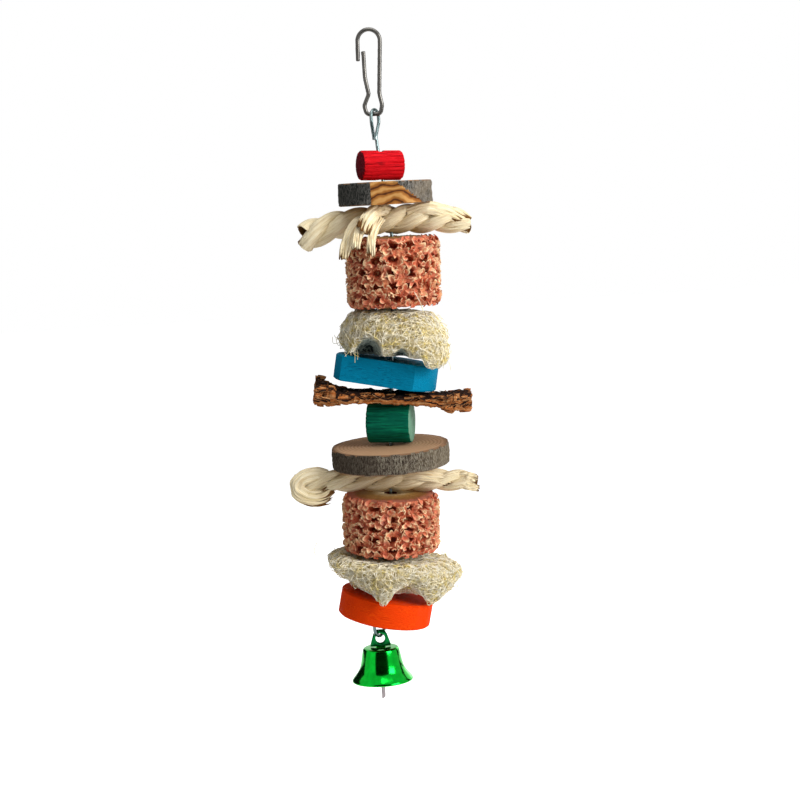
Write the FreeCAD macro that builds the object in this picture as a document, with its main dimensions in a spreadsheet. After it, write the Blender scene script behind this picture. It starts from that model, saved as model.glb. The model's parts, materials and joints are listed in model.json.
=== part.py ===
import FreeCAD, Part
import math
import os
import Sketcher

os.makedirs("parts", exist_ok=True)

Vector = FreeCAD.Vector
UP = Vector(0, 0, 1)
ACROSS = Vector(1, 0, 0)
AWAY = Vector(0, 1, 0)

# A hanging chew toy for a cage bird: a spring clip carries one bent wire, and dyed wood,
# bark slices, corn cob, twisted husk and loofah are threaded on it above a small bell.
# The origin is the inner top of the clip's hook, where the cage bar bears.
# +Z is up, +X is to the right seen from the front and +Y points away from the viewer.
# Lengths are millimetres and angles are degrees. A tilt above zero lowers the right side,
# and a pitch above zero lowers the front.
SIZES = {
    # Gaps: between two threaded pieces, and beside a wire that another piece hangs on
    "seat_gap": 0.3,
    "link_gap": 0.25,
    # Flats that stand for the round of both wires
    "wire_flats": 8,
    # Spring clip
    "clip_wire": 1.45,
    "clip_span": 8.1,
    "clip_tall": 29.7,
    "clip_hook_drop": 10.2,
    "clip_hook_flare": 0.35,
    "clip_waist_drop": 21.9,
    "clip_waist_left": 1.35,
    "clip_waist_right": 2.4,
    "clip_bulb_drop": 25.8,
    "clip_bulb_half": 3.15,
    "clip_foot_half": 2.5,
    "clip_gate_half": 2.35,
    "clip_gate_top": 6.8,
    "clip_gate_foot": 16.0,
    "clip_leg_bend": 8.0,
    "clip_waist_bend": 1.5,
    "clip_bulb_bend": 1.7,
    "clip_foot_bend": 1.5,
    "clip_gate_bend": 14.0,
    # Spindle wire with an eye at its top and a loop at its bottom
    "spindle_wire_wide": 1.2,
    "eye_half": 2.6,
    "eye_tall": 10.4,
    "eye_turn": 60.0,
    "eye_shift": 0.3,
    "loop_half": 3.1,
    "loop_tall": 6.5,
    "loop_turn": 55.0,
    "twist_neck": 1.0,
    "eye_flank": 1.8,
    "eye_flank_bend": 1.5,
    "eye_tail": 0.3,
    "eye_tail_bend": 0.4,
    "shank_top_bend": 20.0,
    "shank_high_bend": 120.0,
    "shank_low_bend": 220.0,
    "shank_foot_bend": 3.0,
    "bow_out": 4.4,
    "bow_middle": -0.4,
    "bow_low": -2.8,
    "bow_foot": -9.4,
    "slide_room": 4.0,
    # Red bead: a short rod drilled across
    "red_wide": 10.6,
    "red_long": 15.3,
    "red_turn": 20.0,
    "red_tilt": 2.4,
    "bead_edge": 0.6,
    "bead_grain": 13,
    "bead_groove": 0.18,
    "bead_bore": 3.2,
    # Top slice of a branch, with a whittled place at its front
    "top_slice_wide": 34.9,
    "top_slice_thick": 8.1,
    "top_slice_tilt": 0.5,
    "slice_bore": 3.4,
    "slice_sides": 22,
    "bark_uneven": 0.35,
    "whittle_deep": 1.6,
    "whittle_wide": 17.0,
    "whittle_tall": 6.4,
    # Twisted husk, three strands each
    "upper_husk_thick": 10.0,
    "upper_husk_left": 31.0,
    "upper_husk_right": 28.0,
    "upper_husk_droop": 5.2,
    "upper_husk_tilt": 0.0,
    "lower_husk_thick": 7.9,
    "lower_husk_left": 35.0,
    "lower_husk_right": 31.0,
    "lower_husk_droop": 2.0,
    "lower_husk_tilt": 3.0,
    "lower_husk_pitch": 2.6,
    "husk_pitch": 27.0,
    "husk_bore": 2.8,
    "husk_flare": 0.12,
    "husk_taper": 0.35,
    "strand_gap": 0.4,
    "strand_sides": 6,
    "strand_station": 3.2,
    # Corn cob cuts with open kernel sockets
    "cob_columns": 16,
    "cob_rows": 5,
    "cob_edge": 1.5,
    "cob_bore": 5.0,
    "socket_wide": 4.4,
    "socket_deep": 3.4,
    "socket_wall": 1.0,
    "upper_cob_wide": 33.8,
    "upper_cob_tall": 25.0,
    "upper_cob_tilt": 1.0,
    "lower_cob_wide": 35.0,
    "lower_cob_tall": 21.2,
    "lower_cob_tilt": 2.4,
    "lower_cob_pitch": 2.4,
    # Loofah pads, each wedged between a cob and the disc that it lies on
    "loofah_bore": 4.4,
    "loofah_points": 24,
    "upper_loofah_left": 19.4,
    "upper_loofah_right": 21.4,
    "upper_loofah_deep": 36.0,
    "upper_loofah_thick": 15.6,
    "lower_loofah_left": 22.8,
    "lower_loofah_right": 28.6,
    "lower_loofah_deep": 42.0,
    "lower_loofah_thick": 11.4,
    "loofah_lobe": 0.09,
    "upper_loofah_foot": 0.8,
    "lower_loofah_foot": 0.68,
    "channel_wide": 7.6,
    "channel_tall": 5.2,
    # Blue disc
    "blue_wide": 38.5,
    "blue_deep": 33.0,
    "blue_thick": 9.2,
    "blue_tilt": 10.8,
    "blue_facet": 4.4,
    "blue_off": -1.4,
    "disc_edge": 0.5,
    "disc_bore": 3.6,
    # Bark strip, cupped over the bead below it
    "bark_left": 27.6,
    "bark_right": 29.0,
    "bark_thick": 2.9,
    "bark_wide": 21.0,
    "bark_cup": 1.2,
    "bark_ridge": 0.45,
    "bark_curl": 7.0,
    "bark_knob": 2.6,
    "bark_tilt": 6.2,
    # Green bead: a short thick rod drilled across
    "green_wide": 14.9,
    "green_long": 15.8,
    "green_turn": -10.5,
    "green_tilt": 1.6,
    "green_pitch": 1.4,
    # Lower slice
    "lower_slice_wide": 43.8,
    "lower_slice_thick": 7.3,
    "lower_slice_tilt": -0.4,
    "lower_slice_pitch": 3.2,
    # Orange disc
    "orange_wide": 34.3,
    "orange_deep": 32.4,
    "orange_thick": 9.2,
    "orange_tilt": 12.8,
    "orange_pitch": 2.0,
    "orange_facet": 2.2,
    "orange_off": 2.2,
    # Bell, its stamped hanger and the clapper
    "bell_wall": 0.5,
    "bell_crown_half": 5.5,
    "bell_shoulder": 0.8,
    "bell_waist_half": 7.7,
    "bell_mouth_half": 11.2,
    "bell_tall": 12.4,
    "hanger_thick": 0.8,
    "hanger_base": 7.4,
    "hanger_top": 5.0,
    "hanger_rim": 1.5,
    "hanger_hole": 3.4,
    "hanger_drop": 3.2,
    "tongue_wide": 3.2,
    "tongue_hole": 2.0,
    "tongue_strip": 0.8,
    "tongue_reach": 1.6,
    "clapper_ring_wire": 0.9,
    "clapper_ring_bore": 2.3,
    "clapper_wide": 1.4,
    "clapper_long": 13.4,
    "clapper_cut": 0.6,
}

doc = FreeCAD.newDocument("hanging_bird_toy")
sheet = doc.addObject("Spreadsheet::Sheet", "Sizes")
for row, (name, value) in enumerate(SIZES.items(), start=1):
    sheet.set("A%d" % row, name)
    sheet.set("B%d" % row, str(value))
    sheet.setAlias("B%d" % row, name)
doc.recompute()


class Named:
    """The driving dimensions, read back from the sheet by name."""

    def __getattr__(self, name):
        return float(sheet.get(name))


size = Named()
sub_parts = []


def slope(angle):
    return math.tan(math.radians(angle))


def turned(tilt=0.0, pitch=0.0, turn=0.0):
    """Turn about the wire first, then pitch forward, then tilt to the right."""
    tilting = FreeCAD.Rotation(AWAY, tilt)
    pitching = FreeCAD.Rotation(ACROSS, pitch)
    turning = FreeCAD.Rotation(UP, turn)
    return tilting.multiply(pitching).multiply(turning)


def keep(sub_part, label, placement=None):
    sub_part.Label = label
    if placement:
        sub_part.Placement = placement
    sub_parts.append(sub_part)
    return sub_part


def new_body(name):
    return doc.addObject("PartDesign::Body", name)


def plane_of(body, role):
    """One of a body's own origin planes or axes."""
    for feature in body.Origin.OriginFeatures:
        if feature.Role == role:
            return feature


def add_sketch(body, name, role, offset=None):
    """A sketch on one of its own body's origin planes, moved within that plane's frame."""
    sketch = body.newObject("Sketcher::SketchObject", name)
    sketch.AttachmentSupport = [(plane_of(body, role), "")]
    sketch.MapMode = "FlatFace"
    if offset:
        sketch.AttachmentOffset = offset
    return sketch


def add_circle(sketch, across, along, radius, expression):
    """A circle whose radius follows the sheet."""
    circle = Part.Circle(Vector(across, along, 0), UP, radius)
    index = sketch.addGeometry(circle)
    number = sketch.addConstraint(Sketcher.Constraint("Radius", index, radius))
    sketch.setExpression("Constraints[%d]" % number, expression)


def add_outline(sketch, points):
    """A closed outline of straight edges."""
    for index, point in enumerate(points):
        following = points[(index + 1) % len(points)]
        sketch.addGeometry(Part.LineSegment(Vector(*point, 0), Vector(*following, 0)))


def bend(before, corner, after, radius):
    """The start, middle and end of the arc that rounds one corner of a wire's path."""
    arriving = (corner - before).normalize()
    leaving = (after - corner).normalize()
    half_turn = arriving.getAngle(leaving) / 2
    cut_back = radius * math.tan(half_turn)
    inward = (leaving - arriving).normalize()
    middle = corner + inward * (radius / math.cos(half_turn) - radius)
    return corner - arriving * cut_back, middle, corner + leaving * cut_back


def bent_wire(points, radii, wide):
    """A wire along straight runs joined by tangent arcs, one radius for each bend.

    Its round section is drawn as narrow flats.
    """
    edges = []
    start = points[0]
    for index, radius in enumerate(radii, start=1):
        first, middle, last = bend(points[index - 1], points[index], points[index + 1], radius)
        if (first - start).Length > 1e-4:
            edges.append(Part.LineSegment(start, first).toShape())
        edges.append(Part.Arc(first, middle, last).toShape())
        start = last
    edges.append(Part.LineSegment(start, points[-1]).toShape())
    round_edge = Part.Circle(points[0], points[1] - points[0], wide / 2).toShape()
    corners = round_edge.discretize(Number=int(size.wire_flats) + 1)
    return Part.Wire(edges).makePipe(Part.Face(Part.makePolygon(corners)))


def add_pad(body, name, sketch, length):
    """A pad of one length, half to each side of its sketch."""
    pad = body.newObject("PartDesign::Pad", name)
    pad.Profile = sketch
    pad.Midplane = True
    pad.setExpression("Length", length)
    return pad


def add_bore(body, name, radius, length):
    """A hole along the body's own axis, right through."""
    sketch = add_sketch(body, name + "_circle", "XY_Plane")
    add_circle(sketch, 0, 0, 1, radius)
    pocket = body.newObject("PartDesign::Pocket", name)
    pocket.Profile = sketch
    pocket.Midplane = True
    pocket.setExpression("Length", length)
    return pocket


def soften_rims(body, feature, name, depth, along="z"):
    """Breaks every edge of the two end faces, which lie across one of the body's axes."""
    doc.recompute()
    pick = {"x": lambda vertex: vertex.X, "z": lambda vertex: vertex.Z}[along]
    ends = [pick(vertex) for vertex in feature.Shape.Vertexes]
    rims = []
    for number, edge in enumerate(feature.Shape.Edges, start=1):
        levels = [pick(vertex) for vertex in edge.Vertexes]
        if min(levels) > max(ends) - 1e-6 or max(levels) < min(ends) + 1e-6:
            rims.append("Edge%d" % number)
    chamfer = body.newObject("PartDesign::Chamfer", name)
    chamfer.Base = (feature, rims)
    chamfer.setExpression("Size", depth)
    return chamfer


def skinned(rings):
    """A closed solid of flat triangles over a row of rings with equal point counts."""
    triangles = []
    count = len(rings[0])
    for low, high in zip(rings, rings[1:]):
        for index in range(count):
            following = (index + 1) % count
            triangles.append((low[index], low[following], high[following]))
            triangles.append((low[index], high[following], high[index]))
    for ring, flip in ((rings[0], True), (rings[-1], False)):
        centre = Vector(0, 0, 0)
        for point in ring:
            centre = centre + point
        centre = centre * (1.0 / count)
        for index in range(count):
            following = (index + 1) % count
            pair = (ring[following], ring[index]) if flip else (ring[index], ring[following])
            triangles.append((centre, pair[0], pair[1]))
    faces = [Part.Face(Part.makePolygon([*corners, corners[0]])) for corners in triangles]
    solid = Part.Solid(Part.Shell(faces))
    if solid.Volume < 0:
        solid.reverse()
    return solid


def drop(upper, lower, reach):
    """The height that two faces of unlike slope need, so that either can turn freely."""
    across = slope(upper["tilt"]) - slope(lower["tilt"])
    forward = slope(upper["pitch"]) - slope(lower["pitch"])
    return size.seat_gap + reach * math.hypot(across, forward)


def attitude(tilt=0.0, pitch=0.0):
    return {"tilt": tilt, "pitch": pitch}


# The threaded pieces rest on each other from the wire's lower loop upwards, and are
# placed here from the top down.
RED = attitude(size.red_tilt)
TOP_SLICE = attitude(size.top_slice_tilt)
UPPER_HUSK = attitude(size.upper_husk_tilt)
UPPER_COB = attitude(size.upper_cob_tilt)
BLUE = attitude(size.blue_tilt)
BARK = attitude(size.bark_tilt)
GREEN = attitude(size.green_tilt, size.green_pitch)
LOWER_SLICE = attitude(size.lower_slice_tilt, size.lower_slice_pitch)
LOWER_HUSK = attitude(size.lower_husk_tilt, size.lower_husk_pitch)
LOWER_COB = attitude(size.lower_cob_tilt, size.lower_cob_pitch)
ORANGE = attitude(size.orange_tilt, size.orange_pitch)


def between(upper, lower):
    """The slope of a soft pad squeezed between two faces of unlike slope."""
    return attitude((upper["tilt"] + lower["tilt"]) / 2, (upper["pitch"] + lower["pitch"]) / 2)


UPPER_PAD = between(UPPER_COB, BLUE)
LOWER_PAD = between(LOWER_COB, ORANGE)


def husk_sag(distance, left, right, droop):
    """How far a twist has drooped at a distance from the wire."""
    return droop * (distance / max(left, right)) ** 4


clip_radius = size.clip_wire / 2
wire_radius = size.spindle_wire_wide / 2
clip_foot = clip_radius - size.clip_tall
eye_top = clip_foot + clip_radius + wire_radius + size.link_gap
neck_top = eye_top - size.eye_tall

upper_cob_reach = size.upper_cob_wide / 2 - size.cob_edge
lower_cob_reach = size.lower_cob_wide / 2 - size.cob_edge
upper_pad_reach = size.upper_loofah_foot * max(size.upper_loofah_left, size.upper_loofah_right)
lower_pad_reach = min(size.lower_loofah_foot * max(size.lower_loofah_left, size.lower_loofah_right),
                      size.orange_wide / 2 + abs(size.orange_off))
upper_sag = husk_sag(upper_cob_reach, size.upper_husk_left, size.upper_husk_right,
                     size.upper_husk_droop)
lower_sag = husk_sag(lower_cob_reach, size.lower_husk_left, size.lower_husk_right,
                     size.lower_husk_droop)

RED["z"] = neck_top - size.slide_room - size.red_wide / 2
TOP_SLICE["z"] = (RED["z"] - size.red_wide / 2 - size.top_slice_thick / 2
                  - drop(RED, TOP_SLICE, size.red_long / 2))
UPPER_HUSK["z"] = (TOP_SLICE["z"] - size.top_slice_thick / 2 - size.upper_husk_thick / 2
                   - drop(TOP_SLICE, UPPER_HUSK, size.top_slice_wide / 2))
UPPER_COB["z"] = (UPPER_HUSK["z"] - size.upper_husk_thick / 2 - upper_sag
                  - size.upper_cob_tall / 2 - drop(UPPER_HUSK, UPPER_COB, upper_cob_reach))
UPPER_PAD["z"] = (UPPER_COB["z"] - size.upper_cob_tall / 2 - size.upper_loofah_thick / 2
                  - drop(UPPER_COB, UPPER_PAD, upper_cob_reach))
BLUE["z"] = (UPPER_PAD["z"] - size.upper_loofah_thick / 2 - size.blue_thick / 2
             - drop(UPPER_PAD, BLUE, upper_pad_reach))
BARK["z"] = (BLUE["z"] - size.blue_thick / 2 - size.bark_thick / 2
             - drop(BLUE, BARK, size.blue_wide / 2 + abs(size.blue_off)))
GREEN["z"] = (BARK["z"] - size.bark_thick / 2 - size.green_wide / 2
              - drop(BARK, GREEN, size.green_long / 2))
LOWER_SLICE["z"] = (GREEN["z"] - size.green_wide / 2 - size.lower_slice_thick / 2
                    - drop(GREEN, LOWER_SLICE, size.green_long / 2))
LOWER_HUSK["z"] = (LOWER_SLICE["z"] - size.lower_slice_thick / 2 - size.lower_husk_thick / 2
                   - drop(LOWER_SLICE, LOWER_HUSK, size.lower_slice_wide / 2))
LOWER_COB["z"] = (LOWER_HUSK["z"] - size.lower_husk_thick / 2 - lower_sag
                  - size.lower_cob_tall / 2 - drop(LOWER_HUSK, LOWER_COB, lower_cob_reach))
LOWER_PAD["z"] = (LOWER_COB["z"] - size.lower_cob_tall / 2 - size.lower_loofah_thick / 2
                  - drop(LOWER_COB, LOWER_PAD, lower_cob_reach))
ORANGE["z"] = (LOWER_PAD["z"] - size.lower_loofah_thick / 2 - size.orange_thick / 2
               - drop(LOWER_PAD, ORANGE, lower_pad_reach))
loop_neck = (ORANGE["z"] - size.orange_thick / 2 / math.cos(math.radians(size.orange_tilt))
             - size.seat_gap)
loop_foot = loop_neck - size.loop_tall

# The wire's bow: its distance from the origin's plumb line at five heights.
shank_length = neck_top - loop_neck
BOW = [
    (size.eye_shift, neck_top),
    (size.eye_shift + 0.6, neck_top - 0.04 * shank_length),
    (size.bow_out, neck_top - 0.21 * shank_length),
    (size.bow_middle, neck_top - 0.55 * shank_length),
    (size.bow_low, neck_top - 0.80 * shank_length),
    (size.bow_foot, loop_neck + size.twist_neck),
    (size.bow_foot, loop_neck),
]


def wire_at(height):
    """The wire's place across, at one height."""
    for (high_x, high_z), (low_x, low_z) in zip(BOW, BOW[1:]):
        if height >= low_z:
            share = (high_z - height) / (high_z - low_z)
            return high_x + share * (low_x - high_x)
    return size.bow_foot


def seated(stance, turn=0.0):
    """A threaded piece's placement: on the wire, at its own height and slope."""
    place = Vector(wire_at(stance["z"]), 0, stance["z"])
    return FreeCAD.Placement(place, turned(stance["tilt"], stance["pitch"], turn))


def make_clip():
    """One spring wire: hook, back leg, waist and bulb, and the gate that closes the hook."""
    half = size.clip_span / 2
    foot = clip_foot
    hook_bend = half - 0.01
    route = [
        (-half - size.clip_hook_flare, -size.clip_hook_drop, None),
        (-half, clip_radius, hook_bend),
        (half, clip_radius, hook_bend),
        (size.clip_waist_right, -size.clip_waist_drop, size.clip_leg_bend),
        (size.clip_bulb_half, -size.clip_bulb_drop, size.clip_bulb_bend),
        (size.clip_foot_half, foot, size.clip_foot_bend),
        (-size.clip_foot_half, foot, size.clip_foot_bend),
        (-size.clip_bulb_half, -size.clip_bulb_drop, size.clip_bulb_bend),
        (-size.clip_waist_left, -size.clip_waist_drop, size.clip_waist_bend),
        (-size.clip_gate_half, -size.clip_gate_foot, size.clip_gate_bend),
        (-size.clip_gate_half, -size.clip_gate_top, None),
    ]
    corners = [Vector(across, 0, rise) for across, rise, radius in route]
    radii = [radius for across, rise, radius in route[1:-1]]
    clip = doc.addObject("Part::Feature", "clip_wire_bent")
    clip.Shape = bent_wire(corners, radii, size.clip_wire)
    keep(clip, "hanging_clip")


def ring_path(half, tall, foot, turn):
    """The route of an eye: out from the shank, round, and back to lie beside the shank."""
    beside = size.spindle_wire_wide + size.link_gap
    sense = math.copysign(1, tall)
    flank = tall - sense * (half + size.eye_flank)
    neck = sense * size.twist_neck
    route = [(0, neck), (half, flank), (half, tall), (-half, tall), (-half, flank),
             (-beside, sense * size.eye_tail), (-beside, -sense * size.eye_tail)]
    aside = Vector(math.cos(math.radians(turn)), math.sin(math.radians(turn)), 0)
    return [foot + aside * across + UP * rise for across, rise in route]


def make_spindle():
    """One bent wire: the eye on the clip, the bowed shank and the loop under the pieces."""
    top = Vector(size.eye_shift, 0, neck_top)
    bottom = Vector(size.bow_foot, 0, loop_neck)
    eye = ring_path(size.eye_half, size.eye_tall, top, size.eye_turn)
    loop = ring_path(size.loop_half, -size.loop_tall, bottom, size.loop_turn)
    shank = [Vector(across, 0, rise) for across, rise in BOW[1:-1]]
    eye_bend = size.eye_half - 0.01
    loop_bend = size.loop_half - 0.01
    neck_bend = 0.9 * size.twist_neck
    tail_bend, flank_bend = size.eye_tail_bend, size.eye_flank_bend
    radii = [tail_bend, flank_bend, eye_bend, eye_bend, flank_bend, neck_bend]
    radii += [size.shank_top_bend, size.shank_high_bend, size.shank_low_bend,
              size.shank_low_bend, size.shank_foot_bend]
    radii += [neck_bend, flank_bend, loop_bend, loop_bend, flank_bend, tail_bend]
    spindle = doc.addObject("Part::Feature", "spindle_wire_bent")
    spindle.Shape = bent_wire([*eye[::-1], *shank, *loop], radii, size.spindle_wire_wide)
    keep(spindle, "spindle_wire")


def make_bead(label, wide, long, stance, turn):
    """A short rod lying across the wire, its round broken by grain, drilled across."""
    body = new_body(label + "_body")
    outline = add_sketch(body, label + "_outline", "YZ_Plane")
    count = 2 * int(size.bead_grain)
    points = []
    for index in range(count):
        angle = 2 * math.pi * index / count
        radius = wide / 2 - (size.bead_groove if index % 2 else 0)
        points.append((radius * math.cos(angle), radius * math.sin(angle)))
    add_outline(outline, points)
    rod = add_pad(body, label + "_rod", outline, long)
    soften_rims(body, rod, label + "_rims", "Sizes.bead_edge", "x")
    add_bore(body, label + "_bore", "Sizes.bead_bore / 2", "Sizes.green_wide * 2")
    keep(body, label, seated(stance, turn))


def branch_outline(wide, seed):
    """The uneven round of a sawn branch, as flats between shallow corners."""
    count = int(size.slice_sides)
    points = []
    for index in range(count):
        angle = 2 * math.pi * index / count
        ripple = math.sin(3 * angle + seed) + 0.6 * math.sin(5 * angle + 2 * seed)
        radius = wide / 2 - size.bark_uneven * (1.6 - ripple) / 2
        points.append((radius * math.cos(angle), radius * math.sin(angle)))
    return points


def make_slice(label, wide, thick, stance, seed, whittled):
    """A slice of branch with its bark on, drilled through its middle."""
    body = new_body(label + "_body")
    outline = add_sketch(body, label + "_outline", "XY_Plane")
    add_outline(outline, branch_outline(wide, seed))
    pad = add_pad(body, label + "_sawn", outline, thick)
    soften_rims(body, pad, label + "_rims", "Sizes.disc_edge")
    if whittled:
        front = FreeCAD.Placement(Vector(0, 0, wide / 2 - size.whittle_deep), FreeCAD.Rotation())
        cut = add_sketch(body, label + "_whittle_outline", "XZ_Plane", front)
        half = size.whittle_wide / 2
        rise = size.whittle_tall / 2
        add_outline(cut, [
            (-half * 0.7, -rise), (half * 1.2, -rise), (half * 0.5, rise), (-half * 0.75, rise),
        ])
        pocket = body.newObject("PartDesign::Pocket", label + "_whittle")
        pocket.Profile = cut
        pocket.Reversed = True
        pocket.setExpression("Length", "Sizes.whittle_deep * 3")
    add_bore(body, label + "_bore", "Sizes.slice_bore / 2", thick + " * 2")
    keep(body, label, seated(stance))


def make_disc(label, prefix, stance):
    """A dyed slice of wood: an oval of flats with one sawn facet at its right."""
    wide = getattr(size, prefix + "_wide")
    deep = getattr(size, prefix + "_deep")
    facet = getattr(size, prefix + "_facet")
    off = getattr(size, prefix + "_off")
    body = new_body(label + "_body")
    outline = add_sketch(body, label + "_outline", "XY_Plane")
    count = int(size.slice_sides)
    points = []
    for index in range(count):
        angle = 2 * math.pi * (index + 0.5) / count
        across = min(wide / 2 * math.cos(angle), wide / 2 - facet * 0.25)
        points.append((across + off, deep / 2 * math.sin(angle)))
    add_outline(outline, points)
    pad = add_pad(body, label + "_sawn", outline, "Sizes." + prefix + "_thick")
    soften_rims(body, pad, label + "_rims", "Sizes.disc_edge")
    add_bore(body, label + "_bore", "Sizes.disc_bore / 2", "Sizes." + prefix + "_thick * 2")
    keep(body, label, seated(stance))


def socket_outline(column_wide, row_tall):
    """One kernel's socket: a flat-sided oval, narrower at its ends."""
    half = min(size.socket_wide, column_wide - size.socket_wall) / 2
    rise = (row_tall - size.socket_wall) / 2
    return [
        (-half, 0), (-half * 0.55, -rise), (half * 0.55, -rise),
        (half, 0), (half * 0.55, rise), (-half * 0.55, rise),
    ]


def make_cob(label, prefix, stance):
    """A cut of corn cob: a many-sided drum with rings of open kernel sockets."""
    wide = getattr(size, prefix + "_wide")
    tall = getattr(size, prefix + "_tall")
    columns = int(size.cob_columns)
    rows = int(size.cob_rows)
    body = new_body(label + "_body")
    drum = body.newObject("PartDesign::AdditivePrism", label + "_drum")
    drum.setExpression("Polygon", "Sizes.cob_columns")
    corner = "Sizes.%s_wide / 2 / cos(180deg / Sizes.cob_columns)" % prefix
    drum.setExpression("Circumradius", corner)
    drum.setExpression("Height", "Sizes.%s_tall" % prefix)
    facet_front = FreeCAD.Rotation(UP, 180.0 / columns)
    drum.AttachmentSupport = [(plane_of(body, "XY_Plane"), "")]
    drum.MapMode = "FlatFace"
    drum.AttachmentOffset = FreeCAD.Placement(Vector(0, 0, -tall / 2), facet_front)
    soften_rims(body, drum, label + "_rims", "Sizes.cob_edge")
    add_bore(body, label + "_bore", "Sizes.cob_bore / 2", "Sizes.%s_tall * 2" % prefix)
    face_room = tall - 2 * size.cob_edge
    row_tall = face_room / rows
    column_wide = wide * math.tan(math.pi / columns)
    side = FreeCAD.Placement(Vector(0, 0, wide / 2), FreeCAD.Rotation())
    openings = add_sketch(body, label + "_sockets_outline", "YZ_Plane", side)
    for row in range(rows):
        height = (row + 0.5) * row_tall - face_room / 2
        add_outline(openings, [
            (across, rise + height) for across, rise in socket_outline(column_wide, row_tall)
        ])
    sockets = body.newObject("PartDesign::Pocket", label + "_sockets")
    sockets.Profile = openings
    sockets.setExpression("Length", "Sizes.socket_deep")
    ring = body.newObject("PartDesign::PolarPattern", label + "_rings")
    ring.Originals = [sockets]
    ring.Axis = (plane_of(body, "Z_Axis"), [""])
    ring.Angle = 360
    ring.setExpression("Occurrences", "Sizes.cob_columns")
    body.Tip = ring
    keep(body, label, seated(stance))


def make_husk(prefix, stance):
    """Three strands of dried husk twisted into a short rope that droops at its ends."""
    thick = getattr(size, prefix + "_thick")
    left = getattr(size, prefix + "_left")
    right = getattr(size, prefix + "_right")
    droop = getattr(size, prefix + "_droop")
    offset = thick / 2 * 0.536
    radius = (offset * math.sqrt(3) - size.strand_gap) / 2
    count = int(size.strand_sides)
    stations = int((left + right) / size.strand_station)
    bore = Part.makeCylinder(size.husk_bore / 2, 4 * thick, Vector(0, 0, -2 * thick))
    for strand, letter in enumerate("abc"):
        rings = []
        for station in range(stations + 1):
            across = -left + (left + right) * station / stations
            lay = 2 * math.pi * (across / size.husk_pitch + strand / 3)
            end = 2 * station / stations - 1
            swell = 1.0 + (size.husk_flare if end < 0 else -size.husk_taper) * abs(end) ** 8
            centre = Vector(across, -offset * swell * math.cos(lay), offset * swell * math.sin(lay))
            centre.z -= husk_sag(abs(across), left, right, droop)
            ring = []
            for point in range(count):
                angle = 2 * math.pi * point / count
                ring.append(centre + Vector(0, radius * swell * math.cos(angle),
                                            radius * swell * math.sin(angle)))
            rings.append(ring)
        feature = doc.addObject("Part::Feature", "%s_strand_%s_solid" % (prefix, letter))
        feature.Shape = skinned(rings).cut(bore)
        keep(feature, "%s_strand_%s" % (prefix, letter), seated(stance))


def make_loofah(label, stance, wobble, levels, channels):
    """A squeezed pad of loofah: lobed in plan, rounded over, with open seed channels."""
    left = getattr(size, label + "_left")
    right = getattr(size, label + "_right")
    deep = getattr(size, label + "_deep")
    thick = getattr(size, label + "_thick")
    count = int(size.loofah_points)
    rings = []
    for height, spread in levels:
        ring = []
        for index in range(count):
            angle = 2 * math.pi * index / count
            lobes = 1 - size.loofah_lobe * (1 + math.cos(5 * angle + wobble)) / 2
            side = right if math.cos(angle) > 0 else left
            across = side * spread * lobes * math.cos(angle)
            forward = deep / 2 * spread * lobes * math.sin(angle)
            ring.append(Vector(across, forward, height * thick))
        rings.append(ring)
    pad = skinned(rings)
    pad = pad.cut(Part.makeCylinder(size.loofah_bore / 2, 2 * thick, Vector(0, 0, -thick)))
    for place, rise, share in channels:
        side = right if place > 0 else left
        pad = pad.cut(seed_channel(Vector(place * side, 0, rise * thick), share, deep))
    feature = doc.addObject("Part::Feature", label + "_solid")
    feature.Shape = pad
    keep(feature, label, seated(stance))


def seed_channel(centre, share, deep):
    """One of the open seed channels at the front of a pad, six-sided and blind."""
    corners = []
    for index in range(6):
        angle = math.pi / 3 * index
        corners.append(Vector(centre.x + share * size.channel_wide / 2 * math.cos(angle),
                              -deep, centre.z + share * size.channel_tall / 2 * math.sin(angle)))
    face = Part.Face(Part.makePolygon([*corners, corners[0]]))
    return face.extrude(Vector(0, deep * 0.72, 0))


def make_bark():
    """A loose strip of bark, cupped along its length, curled up at its left end."""
    stations = (-1.0, -0.93, -0.86, -0.78, -0.62, -0.45, -0.28, -0.1, 0.1, 0.28, 0.45, 0.58,
                0.7, 0.8, 0.86, 0.92, 1.0)
    shares = (-1.0, -0.83, -0.5, -0.17, 0.17, 0.5, 0.83, 1.0)
    half = size.bark_thick / 2
    rings = []
    for number, station in enumerate(stations):
        reach = size.bark_left if station < 0 else size.bark_right
        narrowing = 1 - 0.3 * abs(station) ** 4
        curl = size.bark_curl * max(0.0, (-station - 0.78) / 0.22)
        knob = size.bark_knob * max(0.0, 1 - abs(station - 0.86) / 0.1)
        scale = size.bark_ridge * math.sin(2.4 * number)
        under, over = [], []
        for place, share in enumerate(shares):
            forward = share * size.bark_wide / 2 * narrowing
            ridge = size.bark_ridge * (place % 2)
            cup = size.bark_cup if abs(share) > 0.9 else 0.0
            rolled = curl * max(0.0, share) ** 2
            lump = knob * max(0.0, -share + 0.4)
            under.append((forward, -half - cup + rolled))
            over.append((forward, half - cup - ridge - abs(scale) + rolled + lump))
        section = under + over[::-1]
        rings.append([Vector(station * reach, forward, rise) for forward, rise in section])
    strip = skinned(rings)
    bore = Part.makeCylinder(size.slice_bore / 2, 4 * size.bark_wide,
                             Vector(0, 0, -2 * size.bark_wide))
    feature = doc.addObject("Part::Feature", "bark_strip_solid")
    feature.Shape = strip.cut(bore)
    keep(feature, "bark_strip", seated(BARK))


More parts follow.
